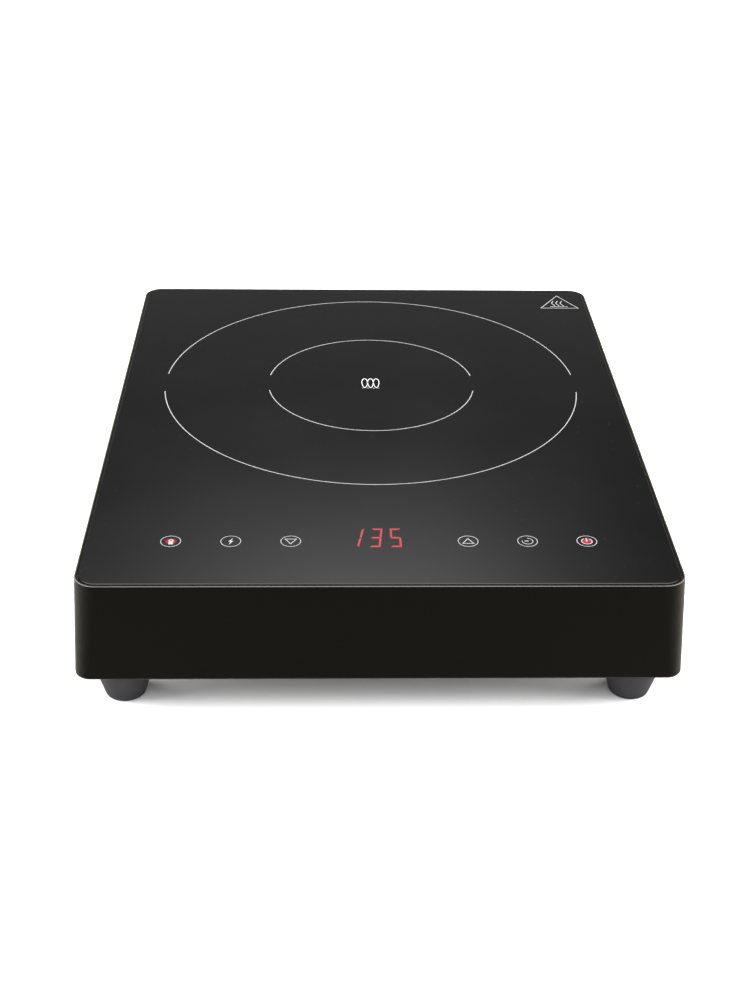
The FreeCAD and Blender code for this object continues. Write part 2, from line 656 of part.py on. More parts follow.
# ---------------------------------------------------------------- fan
def fan_frame():
    """The square frame with its bore, four struts, hub plate and bearing tube."""
    frame = slab(FAN_SIZE, FAN_SIZE, 5.0, FAN_LOW, FAN_HIGH, FAN_X, FAN_Y)
    frame = frame.cut(cyl(FAN_X, FAN_Y, FAN_LOW, FAN_HIGH, FAN_BORE_R))
    waist = slab(FAN_SIZE + 2, FAN_SIZE + 2, 5.0, FAN_LOW + 4.0, FAN_HIGH - 4.0, FAN_X, FAN_Y)
    frame = frame.cut(waist.cut(cyl(FAN_X, FAN_Y, FAN_LOW, FAN_HIGH, FAN_BORE_R + 1.8)))
    plate_top = FAN_LOW + 2.5
    tube_top = FAN_LOW + 14.3
    hub_plate = cyl(FAN_X, FAN_Y, FAN_LOW, plate_top, 16.0)
    parts = [frame, hub_plate, cyl(FAN_X, FAN_Y, plate_top, tube_top, 4.4)]
    strut = box(FAN_X + 15.0, FAN_X + FAN_BORE_R + 1.0, FAN_Y - 1.5, FAN_Y + 1.5, FAN_LOW, plate_top)
    parts += [turned(strut, a, FAN_X, FAN_Y) for a in (20.0, 110.0, 200.0, 290.0)]
    holes = [cyl(x, y, FAN_LOW, FAN_HIGH, 2.2) for x, y in FAN_HOLES]
    holes.append(cyl(FAN_X, FAN_Y, plate_top, tube_top, 3.0))
    return cut(fuse(parts), holes)


def fan_bearing():
    return tube(FAN_X, FAN_Y, FAN_LOW + 3.5, FAN_LOW + 13.5, 3.0, FAN_SHAFT_R + BEARING_CLEARANCE)


def fan_shaft():
    return cyl(FAN_X, FAN_Y, FAN_LOW + 3.7, FAN_LOW + 17.4, FAN_SHAFT_R)


def fan_stator():
    """Four wound poles round the bearing tube."""
    z0, z1 = FAN_LOW + 4.0, FAN_LOW + 11.5
    core = [tube(FAN_X, FAN_Y, z0, z1, 6.0, 4.5)]
    arm = box(FAN_X + 5.5, FAN_X + 10.5, FAN_Y - 1.3, FAN_Y + 1.3, z0, z1)
    reach = box(FAN_X, FAN_X + 12.0, FAN_Y - 6.2, FAN_Y + 6.2, z0, z1)
    shoe = tube(FAN_X, FAN_Y, z0, z1, 11.5, 10.2).common(reach)
    for a in (0.0, 90.0, 180.0, 270.0):
        core += [turned(arm, a, FAN_X, FAN_Y), turned(shoe, a, FAN_X, FAN_Y)]
    return fuse(core)


def fan_coils():
    """The four small windings on the poles."""
    z0, z1 = FAN_LOW + 3.0, FAN_LOW + 12.5
    outer = box(FAN_X + 6.6, FAN_X + 9.6, FAN_Y - 3.0, FAN_Y + 3.0, z0, z1)
    inner = box(FAN_X + 6.5, FAN_X + 9.7, FAN_Y - 1.4, FAN_Y + 1.4, FAN_LOW + 3.9, FAN_LOW + 11.6)
    one = outer.cut(inner)
    return group(turned(one, a, FAN_X, FAN_Y) for a in (0.0, 90.0, 180.0, 270.0))


def fan_magnet():
    return tube(FAN_X, FAN_Y, FAN_LOW + 4.0, FAN_LOW + 13.0, 13.5, 12.2)


def fan_blade():
    """One twisted blade, lofted from a section at the hub to one near the tip."""
    mid = FAN_LOW + 10.7
    sections = []
    for x, chord, pitch, t in ((14.2, 13.0, 42.0, 1.6), (25.0, 17.0, 33.0, 1.4), (36.2, 20.0, 25.0, 1.1)):
        c, s = math.cos(math.radians(pitch)), math.sin(math.radians(pitch))
        half, thin = chord / 2, t / 2
        corners = [(-half, -thin), (half, -thin), (half, thin), (-half, thin)]
        loop = [V(FAN_X + x, FAN_Y + a * c - b * s, mid + a * s + b * c) for a, b in corners]
        sections.append(Part.makePolygon(loop + loop[:1]))
    return Part.makeLoft(sections, True, True)


def fan_impeller():
    """The hub cup and its blades."""
    low, high = FAN_LOW + 3.4, FAN_LOW + 19.0
    cup = cyl(FAN_X, FAN_Y, low, high, FAN_HUB_R)
    cup = round_edges(cup, 1.2, at_height(high))
    cup = cup.cut(cyl(FAN_X, FAN_Y, low, high - 1.6, 13.5))
    boss = cyl(FAN_X, FAN_Y, FAN_LOW + 14.8, high - 1.6, 4.0)
    blades = [turned(fan_blade(), 360.0 / FAN_BLADES * i, FAN_X, FAN_Y) for i in range(FAN_BLADES)]
    body = fuse([cup, boss] + blades)
    return body.cut(cyl(FAN_X, FAN_Y, FAN_LOW + 3.4, FAN_LOW + 17.4, FAN_SHAFT_R))


def fan_screws():
    length = FAN_HIGH - COVER_TOP + 0.8
    return group(pan_screw(x, y, FAN_HIGH, 3.6, 2.2, 1.5, length, True) for x, y in FAN_HOLES)


# ---------------------------------------------------------------- power electronics
def power_board():
    board = slab_between(POWER, 2.0, BOARD_LOW, BOARD_TOP)
    return cut(board, [cyl(x, y, BOARD_LOW, BOARD_TOP, 1.6) for x, y in POWER_HOLES])


def filter_board():
    board = slab_between(FILTER, 2.0, BOARD_LOW, BOARD_TOP)
    return cut(board, [cyl(x, y, BOARD_LOW, BOARD_TOP, 1.6) for x, y in FILTER_HOLES])


def board_screws():
    return group(pan_screw(x, y, BOARD_TOP, 2.8, 1.7, 1.2, 7.0, True) for x, y in POWER_HOLES + FILTER_HOLES)


def heatsink():
    """A finned extrusion lying on the power semiconductors, cut from a block between its fins."""
    x0, x1, y0, y1 = HEATSINK
    base = box(x0, x1, y0, y1, HEATSINK_LOW, HEATSINK_LOW + HEATSINK_BASE_T)
    starts = [x0 + i * FIN_PITCH for i in range(HEATSINK_FINS)]
    fins = [box(x, x + FIN_T, y0, y1, HEATSINK_LOW, HEATSINK_HIGH) for x in starts]
    holes = [cyl(x, PACKAGE_Y, HEATSINK_LOW, HEATSINK_LOW + HEATSINK_BASE_T, 1.6) for x in PACKAGE_XS]
    return cut(fuse([base] + fins), holes)


def semiconductor(x, w, d, legs, pitch):
    """A flat power package under the heatsink, with its legs down to the board."""
    y = PACKAGE_Y
    body = box(x - w / 2, x + w / 2, y - d / 2, y + d / 2, BOARD_TOP + 0.2, HEATSINK_LOW)
    body = body.cut(cyl(x, y, BOARD_TOP, HEATSINK_LOW, 1.7))
    first = -(legs - 1) * pitch / 2
    pins = []
    for i in range(legs):
        px = x + first + i * pitch
        pins.append(box(px - 0.6, px + 0.6, y - d / 2 - 3.0, y - d / 2, BOARD_TOP + 2.2, BOARD_TOP + 2.8))
        pins.append(box(px - 0.6, px + 0.6, y - d / 2 - 3.6, y - d / 2 - 3.0, BOARD_TOP, BOARD_TOP + 2.8))
    return fuse([body] + pins)


def heatsink_screws():
    seat = HEATSINK_LOW + HEATSINK_BASE_T
    length = seat - BOARD_TOP - 0.2
    return group(pan_screw(x, PACKAGE_Y, seat, 2.7, 1.8, 1.4, length, True) for x in PACKAGE_XS)


def film_capacitor(x, y, w, d, h):
    body = slab(w, d, 1.2, BOARD_TOP, BOARD_TOP + h, x, y)
    return round_edges(body, 0.8, at_height(BOARD_TOP + h))


def electrolytic_capacitors():
    cans = []
    for x, y, r, h in ((-22.0, -60.0, 5.0, 18.0), (-22.0, -73.0, 5.0, 18.0), (-9.0, -66.0, 4.0, 13.0)):
        can = round_edges(cyl(x, y, BOARD_TOP, BOARD_TOP + h, r), 0.6, at_height(BOARD_TOP + h))
        groove = tube(x, y, BOARD_TOP + 1.6, BOARD_TOP + 2.4, r + 1.0, r - 0.4)
        cans.append(can.cut(groove))
    return group(cans)


def supply_transformer():
    """A small ferrite-cored transformer for the low-voltage supply."""
    x, y, z = -18.0, -93.0, BOARD_TOP
    core = box(x - 9.0, x + 9.0, y - 3.5, y + 3.5, z + 2.5, z + 18.5)
    bobbin = box(x - 6.2, x + 6.2, y - 8.0, y + 8.0, z + 5.5, z + 15.5)
    foot_strip = [box(x - 8.0, x + 8.0, y + s * 7.0 - 1.5, y + s * 7.0 + 1.5, z, z + 5.5) for s in (-1, 1)]
    return fuse([core, bobbin] + foot_strip)


def buzzer():
    body = round_edges(cyl(-22.0, -45.0, BOARD_TOP, BOARD_TOP + 8.0, 6.0), 0.5, at_height(BOARD_TOP + 8.0))
    return body.cut(cyl(-22.0, -45.0, BOARD_TOP + 5.0, BOARD_TOP + 8.0, 1.0))


def coil_studs():
    """Two screw studs on the power board that take the coil's tails."""
    studs = []
    for x in STUD_XS:
        base = box(x - 3.5, x + 3.5, STUD_Y - 3.5, STUD_Y + 3.5, BOARD_TOP, BOARD_TOP + 2.0)
        stud = cyl(x, STUD_Y, BOARD_TOP + 2.0, BOARD_TOP + 8.0, 2.0)
        studs.append(fuse([base, stud]))
    return group(studs)


def board_connectors():
    """Plug headers for the fan, the sensor and the touch board."""
    z = BOARD_TOP
    fan_header = (-34.0, -26.0, -33.0, -25.0)
    sensor_header = (-22.0, -12.0, -28.0, -20.0)
    ribbon_header = (46.0, 64.0, -113.0, -108.0)
    made = []
    for x0, x1, y0, y1 in (fan_header, sensor_header, ribbon_header):
        body = box(x0, x1, y0, y1, z, z + 6.0)
        body = body.cut(box(x0 + 0.8, x1 - 0.8, y0 + 0.8, y1 - 0.8, z + 2.0, z + 6.0))
        made.append(body)
    return group(made)


def choke_core():
    return tube(84.0, 98.0, BOARD_TOP + 1.4, BOARD_TOP + 11.4, 13.0, 7.5)


def choke_winding():
    """Two groups of turns round the choke's ring core."""
    x, y, z = 84.0, 98.0, BOARD_TOP + 1.4
    outer = box(x + 6.0, x + 14.5, y - 0.65, y + 0.65, z - 1.3, z + 11.3)
    inner = box(x + 7.3, x + 13.2, y - 0.7, y + 0.7, z - 0.1, z + 10.1)
    turn = outer.cut(inner)
    angles = [a + b for a in (0.0, 180.0) for b in range(-54, 55, 18)]
    return group(turned(turn, a, x, y) for a in angles)


def fuse_link():
    """The mains fuse: a glass tube with two caps, lying in two clips."""
    x0, x1, y, z = 104.0, 124.0, 74.0, BOARD_TOP + 5.0
    tube_body = Part.makeCylinder(2.3, x1 - x0, V(x0, y, z), V(1, 0, 0))
    caps = [Part.makeCylinder(2.6, 5.0, V(x, y, z), V(1, 0, 0)) for x in (x0, x1 - 5.0)]
    clips = [box(x - 1.5, x + 1.5, y - 3.4, y + 3.4, BOARD_TOP, z + 1.0) for x in (x0 + 2.5, x1 - 2.5)]
    body = fuse([tube_body] + caps)
    return body, cut(group(clips), [Part.makeCylinder(2.6, x1 - x0 + 4, V(x0 - 2, y, z), V(1, 0, 0))])


def terminal_ways():
    """Where the terminal block's three ways lie along X."""
    x0, x1 = TERMINAL[:2]
    pitch = (x1 - x0) / 3
    return [x0 + pitch * (i + 0.5) for i in range(3)]


def terminal_block():
    """A three-way screw terminal for the supply cord's cores."""
    x0, x1, y0, y1 = TERMINAL
    body = box(x0, x1, y0, y1, COVER_TOP, TERMINAL_HIGH)
    holes = []
    for x in terminal_ways():
        holes.append(cyl_y(x, TERMINAL_WIRE_Z, y0, y1, 2.2))
        holes.append(cyl(x, (y0 + y1) / 2, TERMINAL_SCREW_LOW, TERMINAL_HIGH, 3.4))
    return cut(body, holes)


def terminal_screws():
    top = TERMINAL_SCREW_LOW + 3.5
    y = (TERMINAL[2] + TERMINAL[3]) / 2
    heads = []
    for x in terminal_ways():
        head = cyl(x, y, TERMINAL_SCREW_LOW, top, 3.3)
        heads.append(head.cut(box(x - 3.5, x + 3.5, y - 0.5, y + 0.5, top - 1.2, top)))
    return group(heads)


def mains_leads():
    """Live and neutral from the terminal block to the filter board, and on to the power board."""
    y, z = TERMINAL[2], TERMINAL_WIRE_Z
    routes = []
    for x, x_to in zip(terminal_ways(), (99.0, 111.0)):
        start = [(x, y + 4.0, z), (x, y - 5.0, z), (x + 0.6 * (x_to - x), y - 13.0, z + 5.0)]
        landing = [(x_to, 122.0, z + 10.0), (x_to, 114.5, z + 9.5), (x_to, 114.5, BOARD_TOP)]
        routes.append(start + landing)
    for x, x_to in ((98.0, 92.0), (105.0, 101.0)):
        rise = [(x, 67.0, BOARD_TOP), (x, 67.0, 40.0), (x - 1.0, 58.0, 44.5), (x + 0.5, 44.0, 46.0)]
        run = [(x, 26.0, 45.5), (x_to, 6.0, 45.0), (x_to + 1.0, -10.0, 43.5)]
        landing = [(x_to, -18.0, 40.0), (x_to, -18.0, BOARD_TOP)]
        routes.append(rise + run + landing)
    return group(wire_along(route, 1.3) for route in routes)


def fan_lead():
    """The fan's lead, from the edge of its frame to a header on the power board."""
    route = [
        (FAN_X + 30.8, FAN_Y - 25.9, 34.0),
        (FAN_X + 37.0, FAN_Y - 31.1, 34.5),
        (FAN_X + 44.0, FAN_Y - 40.0, 37.0),
        (FAN_X + 47.0, 40.0, 40.0),
        (FAN_X + 49.5, 22.0, 41.5),
        (FAN_X + 51.0, 4.0, 42.5),
        (FAN_X + 54.5, -13.0, 43.0),
        (-30.0, -26.0, 44.0),
        (-30.0, -29.0, BOARD_TOP + 3.0),
    ]
    return wire_along(route, 1.1)


def sensor_lead():
    """The lead of the sensor under the glass, down between the coil and the boards."""
    route = [
        (0.0, COIL_Y, 55.0),
        (0.0, COIL_Y, 48.0),
        (-4.0, COIL_Y - 9.0, 45.0),
        (-9.0, COIL_Y - 24.0, 44.5),
        (-13.0, 1.0, 44.0),
        (-17.0, -12.0, 44.5),
        (-17.0, -22.0, 43.0),
        (-17.0, -24.0, BOARD_TOP + 3.0),
    ]
    return wire_along(route, 0.9)


def ribbon_cable():
    """The flat cable between the touch board and the power board."""
    x, y = 55.0, KEY_Y + 5.0
    route = [
        (x, y, CONTROL_PCB_LOW),
        (x, y, 54.0),
        (x, y + 7.0, 48.5),
        (x, y + 18.0, 47.0),
        (x, -110.5, 44.5),
        (x, -110.5, BOARD_TOP + 3.0),
    ]
    path = bent_path(route)
    half, t = 7.0, 0.4
    start, along = V(*route[0]), V(*route[1]) - V(*route[0])
    along.normalize()
    across = V(1, 0, 0)
    normal = along.cross(across)
    signs = ((-1, -1), (1, -1), (1, 1), (-1, 1))
    corners = [start + across * (a * half) + normal * (b * t) for a, b in signs]
    return path.makePipeShell([Part.makePolygon(corners + corners[:1])], True, False)


# ---------------------------------------------------------------- the nodes
def nodes():
    fuse_tube, fuse_clips = fuse_link()
    made = {
        "housing": housing(),
        "glass_plate": glass_plate(),
        "glass_seal": glass_seal(),
        "bottom_cover": bottom_cover(),
        "cover_screws": cover_screws(),
        "foot_screws": foot_screws(),
        "cable_bushing": cable_bushing(),
        "bushing_nut": bushing_nut(),
        "control_carrier": control_carrier(),
        "carrier_screws": carrier_screws(),
        "control_board": control_board(),
        "control_board_screws": control_board_screws(),
        "touch_sleeves": touch_sleeves(),
        "key_lamps": key_lamps(),
        "display_module": display_module(),
        "control_chips": control_chips(),
        "coil_former": coil_former(),
        "coil_winding": coil_winding(),
        "ferrite_bars": ferrite_bars(),
        "mica_sheet": mica_sheet(),
        "coil_springs": coil_springs(),
        "temperature_sensor": temperature_sensor(),
        "coil_leads": coil_leads(),
        "fan_frame": fan_frame(),
        "fan_bearing": fan_bearing(),
        "fan_stator": fan_stator(),
        "fan_coils": fan_coils(),
        "fan_impeller": fan_impeller(),
        "fan_magnet": fan_magnet(),
        "fan_shaft": fan_shaft(),
        "fan_screws": fan_screws(),
        "power_board": power_board(),
        "filter_board": filter_board(),
        "board_screws": board_screws(),
        "heatsink": heatsink(),
        "heatsink_screws": heatsink_screws(),
        "power_transistor": semiconductor(PACKAGE_XS[0], 16.0, 21.0, 3, 5.4),
        "bridge_rectifier": semiconductor(PACKAGE_XS[1], 25.0, 16.0, 4, 5.0),
        "resonance_capacitor": film_capacitor(98.0, -40.0, 42.0, 22.0, 22.0),
        "smoothing_capacitor": film_capacitor(56.0, -40.0, 32.0, 18.0, 20.0),
        "electrolytic_capacitors": electrolytic_capacitors(),
        "supply_transformer": supply_transformer(),
        "buzzer": buzzer(),
        "coil_studs": coil_studs(),
        "board_connectors": board_connectors(),
        "choke_core": choke_core(),
        "choke_winding": choke_winding(),
        "interference_capacitor": film_capacitor(112.0, 94.0, 12.0, 24.0, 17.0),
        "mains_fuse": fuse_tube,
        "fuse_clips": fuse_clips,
        "terminal_block": terminal_block(),
        "terminal_screws": terminal_screws(),
        "mains_leads": mains_leads(),
        "fan_lead": fan_lead(),
        "sensor_lead": sensor_lead(),
        "ribbon_cable": ribbon_cable(),
    }
    names = ("foot_front_left", "foot_front_right", "foot_rear_left", "foot_rear_right")
    for name, (x, y) in zip(names, feet_places()):
        made[name] = foot(x, y)
    return made


def main():
    os.makedirs("parts", exist_ok=True)
    for name, shape in nodes().items():
        if not shape.isValid() or not shape.Solids:
            print("not a valid solid:", name)
        shape.exportStep(os.path.join("parts", name + ".step"))


main()
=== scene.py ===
import json
import math

import bmesh
import bpy
import numpy as np
from mathutils import Matrix, Vector


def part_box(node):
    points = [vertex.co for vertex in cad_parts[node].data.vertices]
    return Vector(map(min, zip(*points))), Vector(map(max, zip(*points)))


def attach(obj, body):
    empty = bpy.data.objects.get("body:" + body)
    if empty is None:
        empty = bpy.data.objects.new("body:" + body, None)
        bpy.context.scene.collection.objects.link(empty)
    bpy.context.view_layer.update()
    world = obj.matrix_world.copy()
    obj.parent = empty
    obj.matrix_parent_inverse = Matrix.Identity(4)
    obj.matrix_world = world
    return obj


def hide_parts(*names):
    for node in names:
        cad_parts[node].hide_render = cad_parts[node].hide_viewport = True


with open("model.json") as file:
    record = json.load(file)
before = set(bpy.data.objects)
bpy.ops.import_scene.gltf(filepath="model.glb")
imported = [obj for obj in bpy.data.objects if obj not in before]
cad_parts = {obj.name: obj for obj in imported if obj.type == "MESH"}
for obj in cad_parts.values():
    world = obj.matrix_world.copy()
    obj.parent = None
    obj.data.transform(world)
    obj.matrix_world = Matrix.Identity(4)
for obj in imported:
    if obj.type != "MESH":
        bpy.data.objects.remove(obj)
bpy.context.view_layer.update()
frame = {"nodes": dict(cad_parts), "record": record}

# ---------------------------------------------------------------- sizes, in metres
MM = 0.001
glass_low, glass_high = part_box("glass_plate")
GLASS_TOP = glass_high.z
INK_T = 0.03 * MM
INK_LOW = GLASS_TOP - INK_T

zone_low, zone_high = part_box("mica_sheet")
ZONE = np.array([(zone_low.x + zone_high.x) / 2, (zone_low.y + zone_high.y) / 2])
ZONE_LINE = 0.5 * MM
# the two rings: radius and the width of the gap at each side
ZONE_R = 124.2 * MM
ZONE_RINGS = ((ZONE_R, 24.2 * MM), (ZONE_R / 2, 20.8 * MM))

# the rim's painted highlight, a paler colour on its outer round: the height where it starts and how softly
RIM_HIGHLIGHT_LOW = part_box("housing")[1].z - 0.25 * MM
RIM_HIGHLIGHT_FADE = 0.1 * MM

sleeve_low, sleeve_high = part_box("touch_sleeves")
SLEEVE_R = 4.6 * MM
SLEEVE_Y = (sleeve_low.y + sleeve_high.y) / 2
# the keys are printed a little nearer the user than the middle of the sleeves under them
KEY_Y = SLEEVE_Y - 1.3 * MM
LAST_KEY_X = sleeve_high.x - SLEEVE_R
FIRST_KEY_X = 45.0 * MM
KEY_PITCH = (LAST_KEY_X - FIRST_KEY_X) / 2
KEY_R = 5.2 * MM
KEY_LINE = 0.34 * MM
HALO_R = 3.8 * MM


# ---------------------------------------------------------------- node and colour helpers
def linear(code):
    """An sRGB hex colour as linear RGBA."""
    parts = np.array([int(code[i:i + 2], 16) for i in (1, 3, 5)]) / 255.0
    parts = np.where(parts <= 0.04045, parts / 12.92, ((parts + 0.055) / 1.055) ** 2.4)
    return (*parts.tolist(), 1.0)


def add(tree, kind, values=None, links=None, stops=(), **settings):
    """Adds one node: its settings, the values of its inputs, the sockets that feed its inputs, and for a
    colour ramp its (position, hex colour) stops."""
    made = tree.nodes.new("ShaderNode" + kind)
    for name, value in settings.items():
        setattr(made, name, value)
    for name, value in (values or {}).items():
        made.inputs[name].default_value = value
    for name, source in (links or {}).items():
        tree.links.new(source, made.inputs[name])
    if stops:
        band = made.color_ramp.elements
        while len(band) < len(stops):
            band.new(0.5)
        for element, (position, code) in zip(band, stops):
            element.position = position
            element.color = linear(code)
    return made


def new_material(name):
    """An empty material, its node tree, and the object coordinates that its patterns read."""
    material = bpy.data.materials.new(name)
    material.use_nodes = True
    tree = material.node_tree
    tree.nodes.clear()
    return material, tree, add(tree, "TexCoord").outputs["Object"]


def surface(tree, values, links):
    """The finished surface: a principled shader on the material's output."""
    shader = add(tree, "BsdfPrincipled", values, links)
    add(tree, "OutputMaterial", links={"Surface": shader.outputs["BSDF"]})


# ---------------------------------------------------------------- families of finishes
def finish(name, dark, light, rough, grain_mm, depth_mm, stretch=(1.0, 1.0, 1.0), **fixed):
    """A surface whose colour drifts from dark to light, and whose gloss and relief follow a grain of the
    given size in millimetres, drawn out along an axis where stretch is below one. Fixed values are the
    shader's own."""
    material, tree, coords = new_material(name)
    placed = add(tree, "Mapping", {"Scale": stretch}, {"Vector": coords}).outputs["Vector"]
    fine = {"Scale": 1.0 / (grain_mm * MM), "Detail": 3.0}
    broad = {"Scale": 1.0 / (12.0 * grain_mm * MM), "Detail": 2.0}
    grain = add(tree, "TexNoise", fine, {"Vector": placed}).outputs["Fac"]
    cloud = add(tree, "TexNoise", broad, {"Vector": placed})
    both = add(tree, "Mix", {"Factor": 0.5}, {"A": cloud.outputs["Fac"], "B": grain}).outputs["Result"]
    tone = add(tree, "ValToRGB", links={"Fac": both}, stops=[(0.35, dark), (0.65, light)])
    gloss = {"From Min": 0.3, "From Max": 0.7, "To Min": rough - 0.06, "To Max": rough + 0.06}
    relief = add(tree, "Bump", {"Strength": 1.0, "Distance": depth_mm * MM}, {"Height": grain})
    links = {
        "Base Color": tone.outputs["Color"],
        "Roughness": add(tree, "MapRange", gloss, {"Value": grain}).outputs["Result"],
        "Normal": relief.outputs["Normal"],
    }
    surface(tree, {key.replace("_", " "): value for key, value in fixed.items()}, links)
    return material


def metal(name, dark, light, rough, grain_mm, depth_mm, stretch=(1.0, 1.0, 1.0)):
    """Bare or plated metal, with the marks of rolling, grinding or plating."""
    return finish(name, dark, light, rough, grain_mm, depth_mm, stretch, Metallic=1.0)


def skinned(name, dark, light, rough, grain_mm, depth_mm):
    """A lacquered, sleeved or taped surface: the colour below and a smooth clear skin over it."""
    return finish(name, dark, light, rough, grain_mm, depth_mm, IOR=1.5, Coat_Weight=0.6, Coat_Roughness=0.12)


def case_plastic():
    """Satin black PBT, moulded: deep black walls with almost no gloss and a faint warm sheen where they
    turn away. The rim carries a painted highlight: its outer round is coloured paler, so it draws a thin
    light line round the glass. The outer round is where the surface is high and its normal leans away from
    the hob's middle."""
    material, tree, coords = new_material("satin_black_pbt")
    fine = {"Scale": 1.0 / (0.4 * MM), "Detail": 3.0}
    grain = add(tree, "TexNoise", fine, {"Vector": coords}).outputs["Fac"]
    height = add(tree, "SeparateXYZ", links={"Vector": coords}).outputs["Z"]
    # mask of the rim's painted highlight: high on the housing and facing outwards
    fade = {"From Min": RIM_HIGHLIGHT_LOW, "From Max": RIM_HIGHLIGHT_LOW + RIM_HIGHLIGHT_FADE}
    high = add(tree, "MapRange", fade, {"Value": height}).outputs["Result"]
    level = add(tree, "VectorMath", {1: (1.0, 1.0, 0.0)}, {0: coords}, operation="MULTIPLY")
    outward = add(tree, "VectorMath", links={0: level.outputs["Vector"]}, operation="NORMALIZE")
    facing = {0: add(tree, "NewGeometry").outputs["Normal"], 1: outward.outputs["Vector"]}
    leaning = add(tree, "VectorMath", links=facing, operation="DOT_PRODUCT").outputs["Value"]
    outer = add(tree, "MapRange", {"From Min": 0.1, "From Max": 0.3}, {"Value": leaning}).outputs["Result"]
    rim = add(tree, "Math", links={0: high, 1: outer}, operation="MULTIPLY").outputs["Value"]
    walls = add(tree, "ValToRGB", links={"Fac": grain}, stops=[(0.3, "#010101"), (0.7, "#030302")])
    # the painted highlight's pale colour on the rim's outer round
    edge = add(tree, "ValToRGB", links={"Fac": grain}, stops=[(0.3, "#5b5a57"), (0.7, "#676663")])
    tone = add(tree, "Mix", data_type="RGBA", links={"Factor": rim})
    tree.links.new(walls.outputs["Color"], tone.inputs["A"])
    tree.links.new(edge.outputs["Color"], tone.inputs["B"])
    gloss = {"From Min": 0.3, "From Max": 0.7, "To Min": 0.36, "To Max": 0.44}
    relief = add(tree, "Bump", {"Strength": 1.0, "Distance": 0.003 * MM}, {"Height": grain})
    links = {
        "Base Color": tone.outputs["Result"],
        "Roughness": add(tree, "MapRange", gloss, {"Value": grain}).outputs["Result"],
        "Normal": relief.outputs["Normal"],
    }
    values = {
        "IOR": 1.5,
        "Specular IOR Level": 0.01,
        "Sheen Weight": 0.11,
        "Sheen Roughness": 0.45,
        "Sheen Tint": linear("#fff4dc"),
    }
    surface(tree, values, links)
    return material


def glass_ceramic():
    """Black glass-ceramic, rolled and polished: near black and glossy, with faint haze and tiny pale
    specks."""
    material, tree, coords = new_material("black_glass_ceramic")
    haze = add(tree, "TexNoise", {"Scale": 1.0 / (60.0 * MM), "Detail": 2.0}, {"Vector": coords})
    cells = add(tree, "TexVoronoi", {"Scale": 1.0 / (7.0 * MM)}, {"Vector": coords}, feature="F1")
    near = {"From Min": 0.03, "From Max": 0.06, "To Min": 1.0, "To Max": 0.0}
    speck = add(tree, "MapRange", near, {"Value": cells.outputs["Distance"]}).outputs["Result"]
    tone = add(tree, "ValToRGB", links={"Fac": speck}, stops=[(0.0, "#030304"), (1.0, "#2c2c2e")])
    gloss = {"From Min": 0.3, "From Max": 0.7, "To Min": 0.10, "To Max": 0.14}
    links = {
        "Base Color": tone.outputs["Color"],
        "Roughness": add(tree, "MapRange", gloss, {"Value": haze.outputs["Fac"]}).outputs["Result"],
    }
    surface(tree, {"IOR": 1.52}, links)
    return material


def ceramic_ink(name, dark, light):
    """Ceramic ink fired into the glass: matt, a little uneven at the grain of the printing screen."""
    return finish(name, dark, light, 0.5, 0.5, 0.002, IOR=1.5, Specular_IOR_Level=0.2)


def lit(name, dark, light):
    """Light from a diode seen through the smoked glass: even, with a little grain."""
    material, tree, coords = new_material(name)
    grain = add(tree, "TexNoise", {"Scale": 1.0 / (0.7 * MM), "Detail": 2.0}, {"Vector": coords})
    glow = add(tree, "ValToRGB", links={"Fac": grain.outputs["Fac"]}, stops=[(0.3, dark), (0.7, light)])
    values = {"Base Color": linear("#080304"), "Roughness": 0.3, "Emission Strength": 1.0}
    surface(tree, values, {"Emission Color": glow.outputs["Color"]})
    return material


def halo():
    """Red light that spreads in the glass round a lit key: full in the middle, gone at the disc's edge."""
    material, tree, _ = new_material("red_light_in_glass")
    chart = add(tree, "UVMap", uv_map="halo").outputs["UV"]
    share = add(tree, "SeparateXYZ", links={"Vector": chart}).outputs["X"]
    fade = [(0.0, "#f23b50"), (0.45, "#d82c44"), (0.75, "#5c1019"), (1.0, "#000000")]
    glow = add(tree, "ValToRGB", links={"Fac": share}, stops=fade)
    values = {"Base Color": linear("#050506"), "Roughness": 0.12, "IOR": 1.52, "Emission Strength": 1.0}
    surface(tree, values, {"Emission Color": glow.outputs["Color"]})
    return material


def fuse_glass():
    """Soda glass, drawn to a tube: clear, with a faint haze in its gloss."""
    material, tree, coords = new_material("clear_soda_glass")
    haze = add(tree, "TexNoise", {"Scale": 1.0 / (4.0 * MM)}, {"Vector": coords})
    gloss = {"From Min": 0.3, "From Max": 0.7, "To Min": 0.02, "To Max": 0.08}
    rough = add(tree, "MapRange", gloss, {"Value": haze.outputs["Fac"]}).outputs["Result"]
    values = {"Base Color": linear("#e6ecec"), "IOR": 1.5, "Transmission Weight": 0.85}
    surface(tree, values, {"Roughness": rough})
    return material


